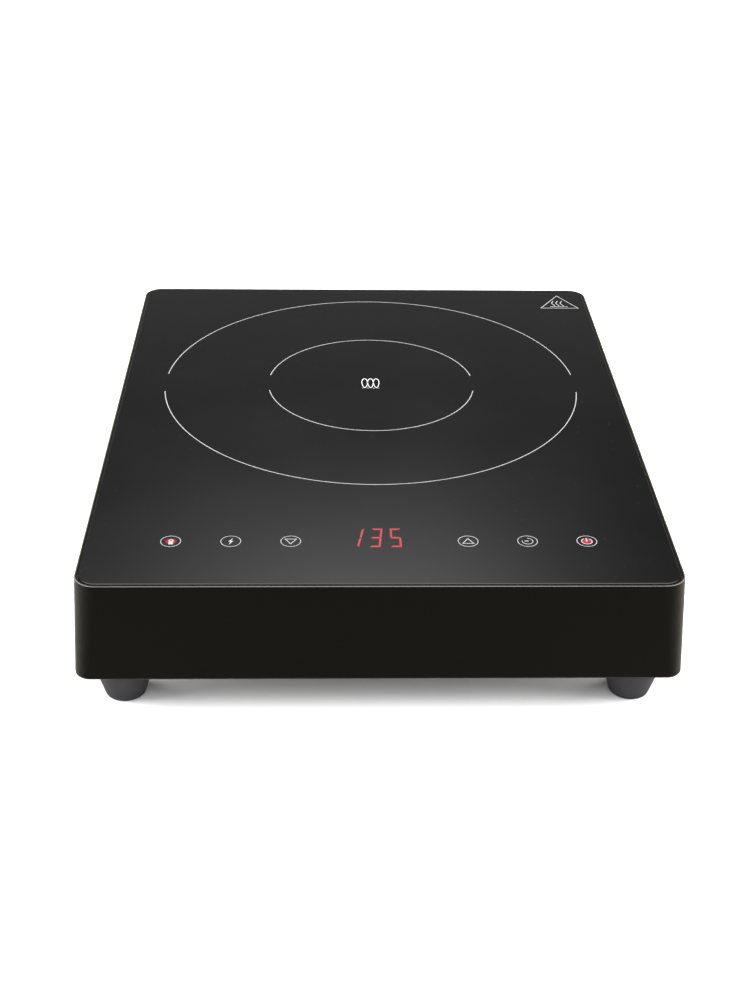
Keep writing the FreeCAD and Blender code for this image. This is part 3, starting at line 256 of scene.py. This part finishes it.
# One finish for each material slot of the record, by what the piece is made of: name, the darker and the
# lighter colour, roughness, grain and relief in millimetres. Where a grain is finer than a render can
# show, it is drawn as coarse as it needs to be seen.
DULL = {"IOR": 1.5, "Specular_IOR_Level": 0.3}
FINISHES = {
    "case_plastic": case_plastic,
    "glass_ceramic": glass_ceramic,
    "fuse_glass": fuse_glass,
    # grained ABS: soft black with a visible leather-like grain
    "cover_plastic": lambda: finish("grained_black_abs", "#151413", "#1d1c1b", 0.55, 0.8, 0.03, **DULL),
    # cured silicone: black, smooth, slightly waxy
    "sealant": lambda: finish("black_silicone", "#0b0b0b", "#101010", 0.50, 2.0, 0.02, **DULL),
    # moulded rubber: matt grey-black that looks dusty at its edges
    "foot_rubber": lambda: finish("grey_black_rubber", "#1a1a1c", "#222224", 0.75, 0.5, 0.02, **DULL),
    # moulded nylon: black with a low sheen
    "bushing_plastic": lambda: finish("black_nylon", "#131313", "#191919", 0.45, 0.6, 0.01, IOR=1.5),
    # zinc plating: pale grey metal, bright and faintly mottled
    "screw_steel": lambda: metal("zinc_plated_steel", "#9a9a98", "#c2c2bf", 0.32, 0.6, 0.004),
    # undyed nylon: warm off-white, satin
    "tray_plastic": lambda: finish("natural_pa66", "#cfc9b6", "#ddd8c8", 0.50, 0.6, 0.01, IOR=1.5),
    # solder mask: deep green under a clear gloss
    "circuit_board": lambda: skinned("green_solder_mask", "#0d3a1c", "#145229", 0.35, 1.0, 0.01),
    # phenolic paper: brown, with the paper's cloudy fibres
    "power_circuit_board": lambda: skinned("phenolic_paper_board", "#7d5424", "#95682f", 0.45, 1.2, 0.02),
    # carbon-filled rubber: dead matt black
    "conductive_rubber": lambda: finish("carbon_filled_rubber", "#141414", "#1e1e1e", 0.8, 0.4, 0.02, **DULL),
    # drawn wire: bright grey with fine lengthwise marks
    "spring_steel": lambda: metal("drawn_spring_wire", "#8d8d8b", "#b4b4b2", 0.25, 0.4, 0.003),
    # tinted epoxy lens: clear red gloss
    "lamp_plastic": lambda: skinned("red_diode_epoxy", "#a31a14", "#c92a20", 0.15, 0.5, 0.002),
    # screen-printed ABS: dark red-black, matt
    "display_plastic": lambda: finish("dark_display_abs", "#241012", "#2e1416", 0.5, 0.5, 0.005, IOR=1.5),
    # transfer-moulded epoxy: matt charcoal with a fine sandy grain
    "chip_epoxy": lambda: finish("moulded_epoxy", "#141414", "#1c1c1d", 0.55, 0.25, 0.01, **DULL),
    # glass-filled polyphenylene sulphide: black-brown, slightly rough
    "former_plastic": lambda: finish("black_pps", "#171717", "#202020", 0.5, 0.7, 0.02, IOR=1.6),
    # stranded enamelled wire: bright copper in fine turns
    "litz_copper": lambda: metal("enamelled_copper", "#8a3a1c", "#c06a38", 0.30, 0.5, 0.05),
    # ground ferrite: dark grey stone with a dull shine
    "ferrite": lambda: finish("ground_ferrite", "#252527", "#303033", 0.45, 0.5, 0.02, IOR=1.6),
    # pressed mica: pearly tan flakes
    "mica": lambda: skinned("pressed_mica", "#a8946c", "#c9b68c", 0.4, 1.5, 0.03),
    # filled silicone: soft light grey
    "sensor_silicone": lambda: finish("grey_silicone", "#a4a39e", "#b4b3ae", 0.55, 1.0, 0.01, IOR=1.4),
    # braided glass sleeve: straw-coloured weave, matt
    "lead_sleeve": lambda: finish("braided_glass_sleeve", "#a39677", "#c2b692", 0.8, 0.5, 0.08, **DULL),
    # glass-filled PBT: black, satin, with flow marks
    "fan_plastic": lambda: finish("glass_filled_pbt", "#161616", "#1f1f1f", 0.45, 0.4, 0.01, IOR=1.5),
    # sintered bronze: dull gold with open pores
    "bearing_bronze": lambda: metal("sintered_bronze", "#8f6a34", "#b58a4c", 0.5, 0.2, 0.01),
    # plastic-bonded ferrite: flat dark grey
    "magnet_ferrite": lambda: finish("bonded_ferrite", "#1f1f20", "#29292a", 0.6, 0.3, 0.01, **DULL),
    # ground shaft steel: mirror-like with fine rings
    "shaft_steel": lambda: metal("ground_steel", "#a9a9a7", "#d0d0ce", 0.15, 0.2, 0.001, (1.0, 1.0, 6.0)),
    # stacked silicon steel: grey-blue with the lines of its sheets
    "stator_steel": lambda: metal("silicon_steel", "#6a6c70", "#8b8e93", 0.35, 0.5, 0.01, (0.2, 0.2, 2.0)),
    # extruded aluminium: pale, with long draw lines
    "heatsink_aluminium": lambda: metal(
        "extruded_aluminium", "#b9bbbd", "#d7d8d9", 0.35, 0.25, 0.01, (1.0, 0.04, 1.0)
    ),
    # moulded polypropylene box: mustard yellow, satin
    "capacitor_film_yellow": lambda: skinned("yellow_polypropylene", "#b98612", "#cf9b20", 0.4, 1.0, 0.01),
    # shrunk sleeve: blue-black film, glossy
    "capacitor_can": lambda: skinned("shrunk_sleeve", "#10131f", "#191d2c", 0.3, 2.0, 0.005),
    # polyester tape: amber and glossy, with faint creases
    "transformer_tape": lambda: skinned("polyester_tape", "#b8962a", "#cdaa3a", 0.3, 2.0, 0.02),
    # undyed nylon: cream white, satin
    "connector_plastic": lambda: finish("natural_nylon", "#d8d4c6", "#e6e2d6", 0.45, 0.6, 0.01, IOR=1.5),
    # extruded PVC: dull red with a light gloss
    "wire_insulation": lambda: skinned("red_pvc", "#7d1c17", "#96241d", 0.4, 1.5, 0.01),
}


# ---------------------------------------------------------------- mesh helpers
def piece(name, vertices, faces, material):
    """A new piece of the glass top or its prints: a mesh with its normals turned outwards, on the base."""
    mesh = bpy.data.meshes.new(name)
    mesh.from_pydata([tuple(v) for v in vertices.tolist()], [], faces)
    shape = bmesh.new()
    shape.from_mesh(mesh)
    bmesh.ops.recalc_face_normals(shape, faces=shape.faces)
    shape.to_mesh(mesh)
    shape.free()
    mesh.materials.append(material)
    made = bpy.data.objects.new(name, mesh)
    bpy.context.scene.collection.objects.link(made)
    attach(made, "base")
    return made


def band(left, right, closed=False):
    """A flat strip between two lines of points of the same length, as (left, right, closed)."""
    return np.asarray(left, float), np.asarray(right, float), closed


def flat_solid(bands, low, high):
    """Vertices and faces of strips given a thickness: for each strip, the two lines at the top and the
    two at the bottom, joined by quads all round and capped where the strip ends."""
    vertices, faces, start = [], [], 0
    for left, right, closed in bands:
        n = len(left)
        for line, z in ((left, high), (right, high), (right, low), (left, low)):
            vertices.append(np.column_stack([line, np.full(n, z)]))
        i = np.arange(n if closed else n - 1)
        j = (i + 1) % n
        for side in range(4):
            a, b = start + side * n, start + ((side + 1) % 4) * n
            faces += np.column_stack([a + i, a + j, b + j, b + i]).tolist()
        if not closed:
            faces += [[start + k * n for k in range(4)], [start + k * n + n - 1 for k in (3, 2, 1, 0)]]
        start += 4 * n
    return np.vstack(vertices), faces


def circle(centre, radius, turn_from=0.0, turn_to=360.0, count=96):
    """Points on a circle or an arc. A whole turn doesn't repeat its first point."""
    whole = abs(turn_to - turn_from) >= 360.0
    a = np.radians(np.linspace(turn_from, turn_to, count, endpoint=not whole))
    return np.asarray(centre) + radius * np.column_stack([np.cos(a), np.sin(a)])


def arc_line(centre, radius, width, turn_from=0.0, turn_to=360.0, count=96):
    """A ring or an arc with its line centred on the radius."""
    ends = (turn_from, turn_to, count)
    whole = abs(turn_to - turn_from) >= 360.0
    return band(circle(centre, radius + width / 2, *ends), circle(centre, radius - width / 2, *ends), whole)


def stroke(points, width, closed=False):
    """A line of that width through points: each corner is offset along its mitre, the mean of its two
    normals divided by the cosine of half the turn."""
    p = np.asarray(points, float)
    step = np.roll(p, -1, 0) - p
    if not closed:
        step[-1] = step[-2]
    step /= np.linalg.norm(step, axis=1)[:, None]
    before = np.roll(step, 1, 0)
    if not closed:
        before[0] = step[0]
    normal = np.column_stack([-step[:, 1], step[:, 0]])
    normal_before = np.column_stack([-before[:, 1], before[:, 0]])
    mitre = normal + normal_before
    mitre /= (mitre * normal).sum(1)[:, None]
    return band(p + mitre * width / 2, p - mitre * width / 2, closed)


def rounded_rectangle(width, depth, radius, per_corner=14):
    """Points round a rectangle with corner arcs, anticlockwise from the right side's lower corner."""
    x, y = width / 2 - radius, depth / 2 - radius
    corners = ((x, -y, -90.0), (x, y, 0.0), (-x, y, 90.0), (-x, -y, 180.0))
    return np.vstack([circle((cx, cy), radius, a, a + 90.0, per_corner) for cx, cy, a in corners])


# ---------------------------------------------------------------- the glass and its printing
def glass_top(material):
    """The polished plate: its outline carried up a profile of bevel, edge and rounded arris, closed flat
    at the top and the bottom. The profile is (inset, height) pairs; the arris follows a quarter sine."""
    w, d = glass_high.x - glass_low.x, glass_high.y - glass_low.y
    bottom, top = glass_low.z, INK_LOW
    corner, bevel, arris = 9.0 * MM, 0.4 * MM, 0.6 * MM
    turn = np.linspace(0.0, math.pi / 2, 7)
    insets = np.concatenate([[bevel, 0.0], arris * (1 - np.cos(turn))])
    heights = np.concatenate([[bottom, bottom + bevel], top - arris + arris * np.sin(turn)])
    loops = []
    for inset, z in zip(insets, heights):
        loop = rounded_rectangle(w - 2 * inset, d - 2 * inset, corner - inset)
        loops.append(np.column_stack([loop, np.full(len(loop), z)]))
    n, rows = len(loops[0]), len(loops)
    i = np.arange(n)
    j = (i + 1) % n
    faces = []
    for k in range(rows - 1):
        faces += np.column_stack([k * n + i, k * n + j, (k + 1) * n + j, (k + 1) * n + i]).tolist()
    faces.append(i[::-1].tolist())
    faces.append(((rows - 1) * n + i).tolist())
    made = piece("glass_top", np.vstack(loops), faces, material)
    mesh = made.data
    smooth = np.ones(len(mesh.polygons), bool)
    smooth[-2:] = False
    mesh.polygons.foreach_set("use_smooth", smooth)
    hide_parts("glass_plate")


def print_piece(name, bands, material):
    """Printed lines on the glass, flush with the hob's highest level."""
    vertices, faces = flat_solid(bands, INK_LOW, GLASS_TOP)
    piece(name, vertices, faces, material)


def zone_rings(ink):
    """The two rings of the cooking zone, each open at its left and right."""
    bands = []
    for radius, gap in ZONE_RINGS:
        half = math.degrees(math.asin(gap / 2 / radius))
        bands.append(arc_line(ZONE, radius, ZONE_LINE, half, 180.0 - half, 140))
        bands.append(arc_line(ZONE, radius, ZONE_LINE, 180.0 + half, 360.0 - half, 140))
    print_piece("zone_rings", bands, ink)


def coil_mark(ink):
    """Three upright loops side by side, with short dashes between their feet: a picture of a coil. Each
    loop is the strip between two ellipses that narrow towards the foot: the half width times the cosine
    of the turn is multiplied by one plus a fifth of its sine. The mark sits just off the zone's middle."""
    pitch, half_w, half_h = 3.5 * MM, 1.85 * MM, 6.4 * MM
    side_line, end_line, dash_line = 0.38 * MM, 0.61 * MM, 0.22 * MM
    middle = ZONE + (-0.3 * MM, -0.5 * MM)
    turn = circle((0.0, 0.0), 1.0, count=40)
    narrowed = turn * np.column_stack([1.0 + 0.2 * turn[:, 1], np.ones(len(turn))])
    outer = narrowed * (half_w, half_h)
    inner = narrowed * (half_w - side_line, half_h - end_line)
    bands = []
    for i in (-1, 0, 1):
        centre = middle + (i * pitch, 0.0)
        bands.append(band(centre + outer, centre + inner, True))
    foot = middle - (0.0, half_h + 0.3 * MM)
    # each dash: its middle as a share of the pitch, and half its length
    for x, reach in ((-1.35, 0.45 * MM), (-0.5, 0.65 * MM), (0.5, 0.65 * MM), (1.35, 0.45 * MM)):
        ends = [foot + (x * pitch - reach, 0.0), foot + (x * pitch + reach, 0.0)]
        bands.append(stroke(ends, dash_line))
    print_piece("coil_mark", bands, ink)


def hot_surface_mark(ink):
    """A warning triangle in the glass's rear right corner, with three lines of rising heat over a bar. A
    heat line leans to the left as the square of a sine along its height, with a small full wave added."""
    line, bar_line = 0.52 * MM, 0.6 * MM
    half, rise, lean = 12.6 * MM, 20.8 * MM, 0.6 * MM
    bar_half, bar_y = 6.0 * MM, 2.4 * MM
    heat_pitch, heat_y, heat_rise = 2.9 * MM, 3.2 * MM, 8.8 * MM
    foot = np.array([glass_high.x - 18.0 * MM, glass_high.y - 29.8 * MM])
    bands = [stroke(foot + np.array([(-half, 0.0), (half, 0.0), (lean, rise)]), line, True)]
    t = np.linspace(0.0, 1.0, 25)
    bend = -1.3 * MM * np.sin(math.pi * t) ** 2 + 0.3 * MM * np.sin(2 * math.pi * t)
    for i in (-1, 0, 1):
        bands.append(stroke(foot + np.column_stack([i * heat_pitch + bend, heat_y + heat_rise * t]), line))
    bands.append(stroke(foot + np.array([(-bar_half, bar_y), (bar_half, bar_y)]), bar_line))
    print_piece("hot_surface_mark", bands, ink)


def key_places():
    """The six keys' centres, from left to right."""
    right = [FIRST_KEY_X + i * KEY_PITCH for i in range(3)]
    return [np.array([x, KEY_Y]) for x in [-x for x in reversed(right)] + right]


def key_rings(ink):
    """A thin ring round each key."""
    rings = [arc_line(centre, KEY_R - KEY_LINE / 2, KEY_LINE, count=64) for centre in key_places()]
    print_piece("key_rings", rings, ink)


def bolt_mark(centre):
    """A lightning bolt as a strip between its left and right outlines."""
    left = np.array([(1.0, 3.0), (-1.3, -0.3), (-0.1, -0.35), (-0.8, -3.0)]) * MM
    right = np.array([(1.05, 3.0), (0.1, 0.35), (1.3, 0.3), (-0.7, -3.0)]) * MM
    return [band(centre + left, centre + right)]


def triangle_mark(centre, up):
    """An open triangle that points away from the user or towards the user."""
    s = 1.0 if up else -1.0
    corners = np.array([(-2.85, -2.1 * s), (2.85, -2.1 * s), (0.0, 2.5 * s)]) * MM
    return [stroke(centre + corners, 0.42 * MM, True)]


def timer_mark(centre):
    """A dial open at its upper left, with a level hand."""
    dial = arc_line(centre, 2.75 * MM, 0.36 * MM, -190.0, 90.0, 48)
    hand = stroke(centre + np.array([(-1.5, 0.1), (0.6, 0.1)]) * MM, 0.65 * MM)
    return [dial, hand]


def key_marks(ink):
    """The marks of the four keys that aren't lit."""
    places = key_places()
    bands = bolt_mark(places[1]) + triangle_mark(places[2], False)
    bands += triangle_mark(places[3], True) + timer_mark(places[4])
    print_piece("key_marks", bands, ink)


def lit_marks(glow):
    """The two lit signs: a padlock at the far left and an on-off sign at the far right."""
    lock, power = key_places()[0], key_places()[5]
    body = stroke(lock + np.array([(0.2, 0.2), (0.2, -2.9)]) * MM, 2.3 * MM)
    shackle = arc_line(lock + (0.2 * MM, 0.6 * MM), 0.95 * MM, 0.7 * MM, -20.0, 200.0, 24)
    dial = arc_line(power - (0.0, 0.1 * MM), 2.65 * MM, 0.5 * MM, 120.0, 420.0, 48)
    bar = stroke(power + np.array([(0.0, 2.9), (0.0, -0.3)]) * MM, 0.75 * MM)
    print_piece("lit_marks", [body, shackle, dial, bar], glow)


def key_halos(material):
    """A soft disc of light under each lit sign, a little flatter than round, as a grid of angle and
    radius: x = r cos a, y = 0.9 r sin a. Its map's X is r over the disc's own radius, which the material
    fades by."""
    rings, turns = 8, 40
    level = INK_LOW + 0.3 * INK_T
    for name, centre in (("halo_left", key_places()[0]), ("halo_right", key_places()[5])):
        share = np.linspace(0.0, 1.0, rings + 1)[1:]
        a = np.linspace(0.0, 2 * math.pi, turns, endpoint=False)
        radius = share[:, None] * HALO_R
        x, y = centre[0] + radius * np.cos(a), centre[1] + 0.9 * radius * np.sin(a)
        top = np.column_stack([x.ravel(), y.ravel(), np.full(x.size, level)])
        rim = np.column_stack([x[-1], y[-1], np.full(turns, INK_LOW)])
        middle = np.array([[*centre, level], [*centre, INK_LOW]])
        i = np.arange(turns)
        j = (i + 1) % turns
        faces = []
        for k in range(rings):
            a0, b0 = k * turns, (k + 1) * turns
            faces += np.column_stack([a0 + i, a0 + j, b0 + j, b0 + i]).tolist()
        centre_top = (rings + 1) * turns
        faces += [[centre_top, int(p), int(q)] for p, q in zip(i, j)]
        faces += [[centre_top + 1, rings * turns + int(q), rings * turns + int(p)] for p, q in zip(i, j)]
        made = piece(name, np.vstack([top, rim, middle]), faces, material)
        across = np.concatenate([np.repeat(share, turns), np.ones(turns), [0.0, 1.0]])
        chart = made.data.uv_layers.new(name="halo")
        corner_vertex = np.zeros(len(made.data.loops), int)
        made.data.loops.foreach_get("vertex_index", corner_vertex)
        uv = np.column_stack([across[corner_vertex], np.zeros(len(corner_vertex))])
        chart.data.foreach_set("uv", uv.ravel())


# ---------------------------------------------------------------- the display
DIGIT_FOOT_Y = SLEEVE_Y - 6.9 * MM
SEGMENTS = {"1": "bc", "3": "abgcd", "5": "afgcd"}
DIGIT_W = 5.6 * MM
DIGIT_H = 17.9 * MM
# each digit: its character, its left edge from the display's middle, and how far its top leans, as a
# share of its height
DIGITS = (("1", -16.2 * MM, 0.168), ("3", -5.3 * MM, 0.088), ("5", 5.5 * MM, 0.0))


def segment(key):
    """One bar of a digit as a strip with slanted ends, in the digit's own upright frame. Level bars are
    thicker than upright ones, by the factor tall, so that they look alike from the user's place."""
    t, gap, tall = 1.05 * MM, 0.12 * MM, 1.35
    w, h, half = DIGIT_W, DIGIT_H, DIGIT_H / 2
    if key in "ad":
        y_out, y_in = (h, h - t * tall) if key == "a" else (0.0, t * tall)
        return band([(gap, y_out), (w - gap, y_out)], [(t + gap, y_in), (w - t - gap, y_in)])
    if key == "g":
        reach = t * tall / 2
        left = [(gap, half), (t + gap, half + reach), (w - t - gap, half + reach), (w - gap, half)]
        right = [(gap, half), (t + gap, half - reach), (w - t - gap, half - reach), (w - gap, half)]
        return band(left, right)
    x_out, x_in = (w, w - t) if key in "bc" else (0.0, t)
    lower = key in "ce"
    y0, y1 = (gap, half - gap) if lower else (half + gap, h - gap)
    inner0 = y0 + (t * tall if lower else t * tall / 2)
    inner1 = y1 - (t * tall / 2 if lower else t * tall)
    return band([(x_out, y0), (x_out, y1)], [(x_in, inner0), (x_in, inner1)])


def display_digits(glow):
    """The lit digits, each bar sheared sideways by its height times the lean."""
    low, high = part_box("display_module")
    origin = np.array([(low.x + high.x) / 2, DIGIT_FOOT_Y])
    bands = []
    for digit, x, lean in DIGITS:
        corner = origin + (x, 0.0)
        shear = np.array([[1.0, 0.0], [lean, 1.0]])
        for key in SEGMENTS[digit]:
            left, right, closed = segment(key)
            bands.append(band(corner + left @ shear, corner + right @ shear, closed))
    print_piece("display_digits", bands, glow)


# ---------------------------------------------------------------- floor, light and camera
FLOOR_REACH = 12.0
SKY_STRENGTH = 3.0

# each side lamp: its name, its side and its power
LAMPS = (("left_softbox", -1.0, 80.0), ("right_softbox", 1.0, 74.0))
LAMP_PLACE = Vector((1.3, 0.05, 0.30))
LAMP_AIM = Vector((0.0, 0.0, 0.05))
LAMP_WIDTH = 1.2
LAMP_HEIGHT = 0.8

# the camera: its place from the middle of the glass, its downward, rightward and sideways tilt in
# radians, and its lens on a 36 mm frame
EYE = Vector((-0.026811, -0.81342, 0.417177))
PITCH, YAW, ROLL = 0.53041, 0.03595, 0.01864
LENS = 56.02


def floor():
    """A wide pale floor."""
    material, tree, coords = new_material("pale_studio_floor")
    cloud = add(tree, "TexNoise", {"Scale": 3.0}, {"Vector": coords})
    pale = [(0.3, "#dedede"), (0.7, "#e2e2e2")]
    tone = add(tree, "ValToRGB", links={"Fac": cloud.outputs["Fac"]}, stops=pale)
    surface(tree, {"Roughness": 0.9, "Specular IOR Level": 0.1}, {"Base Color": tone.outputs["Color"]})
    mesh = bpy.data.meshes.new("studio_floor")
    corners = [(x * FLOOR_REACH, y * FLOOR_REACH, 0.0) for x, y in ((-1, -1), (1, -1), (1, 1), (-1, 1))]
    mesh.from_pydata(corners, [], [(0, 1, 2, 3)])
    mesh.materials.append(material)
    made = bpy.data.objects.new("studio_floor", mesh)
    bpy.context.scene.collection.objects.link(made)


def sky():
    """The studio round the hob as a world: white for the camera. For light it is a bright ceiling, mid-grey
    walls at the front and the sides, and a dim rear wall that brightens upwards, brightest a little right
    of the middle, which is what the glass mirrors."""
    world = bpy.data.worlds.new("studio")
    bpy.context.scene.world = world
    world.use_nodes = True
    tree = world.node_tree
    tree.nodes.clear()
    way = add(tree, "SeparateXYZ", links={"Vector": add(tree, "TexCoord").outputs["Generated"]}).outputs
    dim = [
        (0.0, "#727272"), (0.30, "#555555"), (0.39, "#4b4b4b"), (0.43, "#444444"),
        (0.47, "#3a3a3a"), (0.56, "#404040"), (0.64, "#6c6c6c"), (0.80, "#ffffff"),
    ]
    bright = [
        (0.0, "#727272"), (0.30, "#555555"), (0.39, "#4b4b4b"), (0.43, "#454545"), (0.47, "#484848"),
        (0.50, "#616161"), (0.52, "#7a7a7a"), (0.545, "#a1a1a1"), (0.60, "#c4c4c4"), (0.80, "#ffffff"),
    ]
    sideways = [
        (0.20, "#000000"), (0.363, "#959595"), (0.44, "#e2e2e2"), (0.49, "#fcfcfc"), (0.565, "#ffffff"),
        (0.60, "#e2e2e2"), (0.65, "#a0a0a0"), (0.70, "#303030"), (0.74, "#000000"),
    ]
    front = [(0.0, "#8c8c8c"), (0.35, "#9c9c9c"), (0.60, "#bcbcbc"), (0.85, "#ffffff")]
    span = add(tree, "MapRange", {"From Min": -0.5, "From Max": 0.5}, {"Value": way["X"]})
    across = add(tree, "ValToRGB", links={"Fac": span.outputs["Result"]}, stops=sideways)
    mirrored = add(tree, "Mix", links={"Factor": across.outputs["Color"]}, data_type="RGBA")
    to_rear = add(tree, "MapRange", {"From Min": -0.05, "From Max": 0.35}, {"Value": way["Y"]})
    walls = add(tree, "Mix", links={"Factor": to_rear.outputs["Result"]}, data_type="RGBA")
    for stops, target in (
        (dim, mirrored.inputs["A"]),
        (bright, mirrored.inputs["B"]),
        (front, walls.inputs["A"]),
    ):
        rise = add(tree, "ValToRGB", links={"Fac": way["Z"]}, stops=stops)
        tree.links.new(rise.outputs["Color"], target)
    tree.links.new(mirrored.outputs["Result"], walls.inputs["B"])
    seen = add(tree, "Background", {"Color": (1, 1, 1, 1), "Strength": 1.0})
    felt = add(tree, "Background", {"Strength": SKY_STRENGTH}, {"Color": walls.outputs["Result"]})
    for_camera = add(tree, "LightPath").outputs["Is Camera Ray"]
    choice = {0: for_camera, 1: felt.outputs["Background"], 2: seen.outputs["Background"]}
    both = add(tree, "MixShader", links=choice)
    add(tree, "OutputWorld", links={"Surface": both.outputs["Shader"]})


def softboxes():
    """A large soft lamp at each side, turned to the hob. The lamps light the scene but aren't mirrored in
    the glass."""
    for name, side, power in LAMPS:
        lamp = bpy.data.lights.new(name, "AREA")
        lamp.shape = "RECTANGLE"
        lamp.size, lamp.size_y = LAMP_WIDTH, LAMP_HEIGHT
        lamp.energy = power
        made = bpy.data.objects.new(name, lamp)
        bpy.context.scene.collection.objects.link(made)
        made.location = LAMP_PLACE * Vector((side, 1.0, 1.0))
        made.rotation_euler = (LAMP_AIM - made.location).to_track_quat("-Z", "Y").to_euler()
        made.visible_camera = False
        made.visible_glossy = False


def camera():
    """A camera in front of the hob, about 30 degrees above it, a little to the left and turned slightly."""
    forward = Vector((math.sin(YAW) * math.cos(PITCH), math.cos(YAW) * math.cos(PITCH), -math.sin(PITCH)))
    level = Vector((math.cos(YAW), -math.sin(YAW), 0.0))
    upright = level.cross(forward)
    right = math.cos(ROLL) * level + math.sin(ROLL) * upright
    up = math.cos(ROLL) * upright - math.sin(ROLL) * level
    data = bpy.data.cameras.new("camera")
    data.sensor_width = 36.0
    data.lens = LENS
    made = bpy.data.objects.new("camera", data)
    bpy.context.scene.collection.objects.link(made)
    turned = Matrix((right, up, -forward)).transposed().to_4x4()
    made.matrix_world = Matrix.Translation(Vector((0.0, 0.0, GLASS_TOP)) + EYE) @ turned
    bpy.context.scene.camera = made


# ---------------------------------------------------------------- making
def dress_cad_nodes():
    """Every CAD node gets the finish of its slot."""
    made = {}
    for part in frame["record"]["subparts"]:
        slot = part["material_slot"]
        if slot not in made:
            made[slot] = FINISHES[slot]()
        materials = frame["nodes"][part["node"]].data.materials
        if len(materials):
            materials[0] = made[slot]
        else:
            materials.append(made[slot])
    return made


camera()
floor()
sky()
softboxes()
bpy.context.scene.view_settings.view_transform = "Standard"

finishes = dress_cad_nodes()
glass_top(finishes["glass_ceramic"])
ink = ceramic_ink("grey_fired_ink", "#868686", "#9a9a9a")
zone_rings(ink)
coil_mark(ceramic_ink("white_fired_ink", "#c8c8c8", "#dcdcdc"))
hot_surface_mark(ink)
key_rings(ink)
key_marks(ink)
display_digits(lit("red_led_bars", "#d0404a", "#dc4a54"))
key_halos(halo())
lit_marks(lit("white_led_sign", "#f4dcdc", "#fff2f0"))
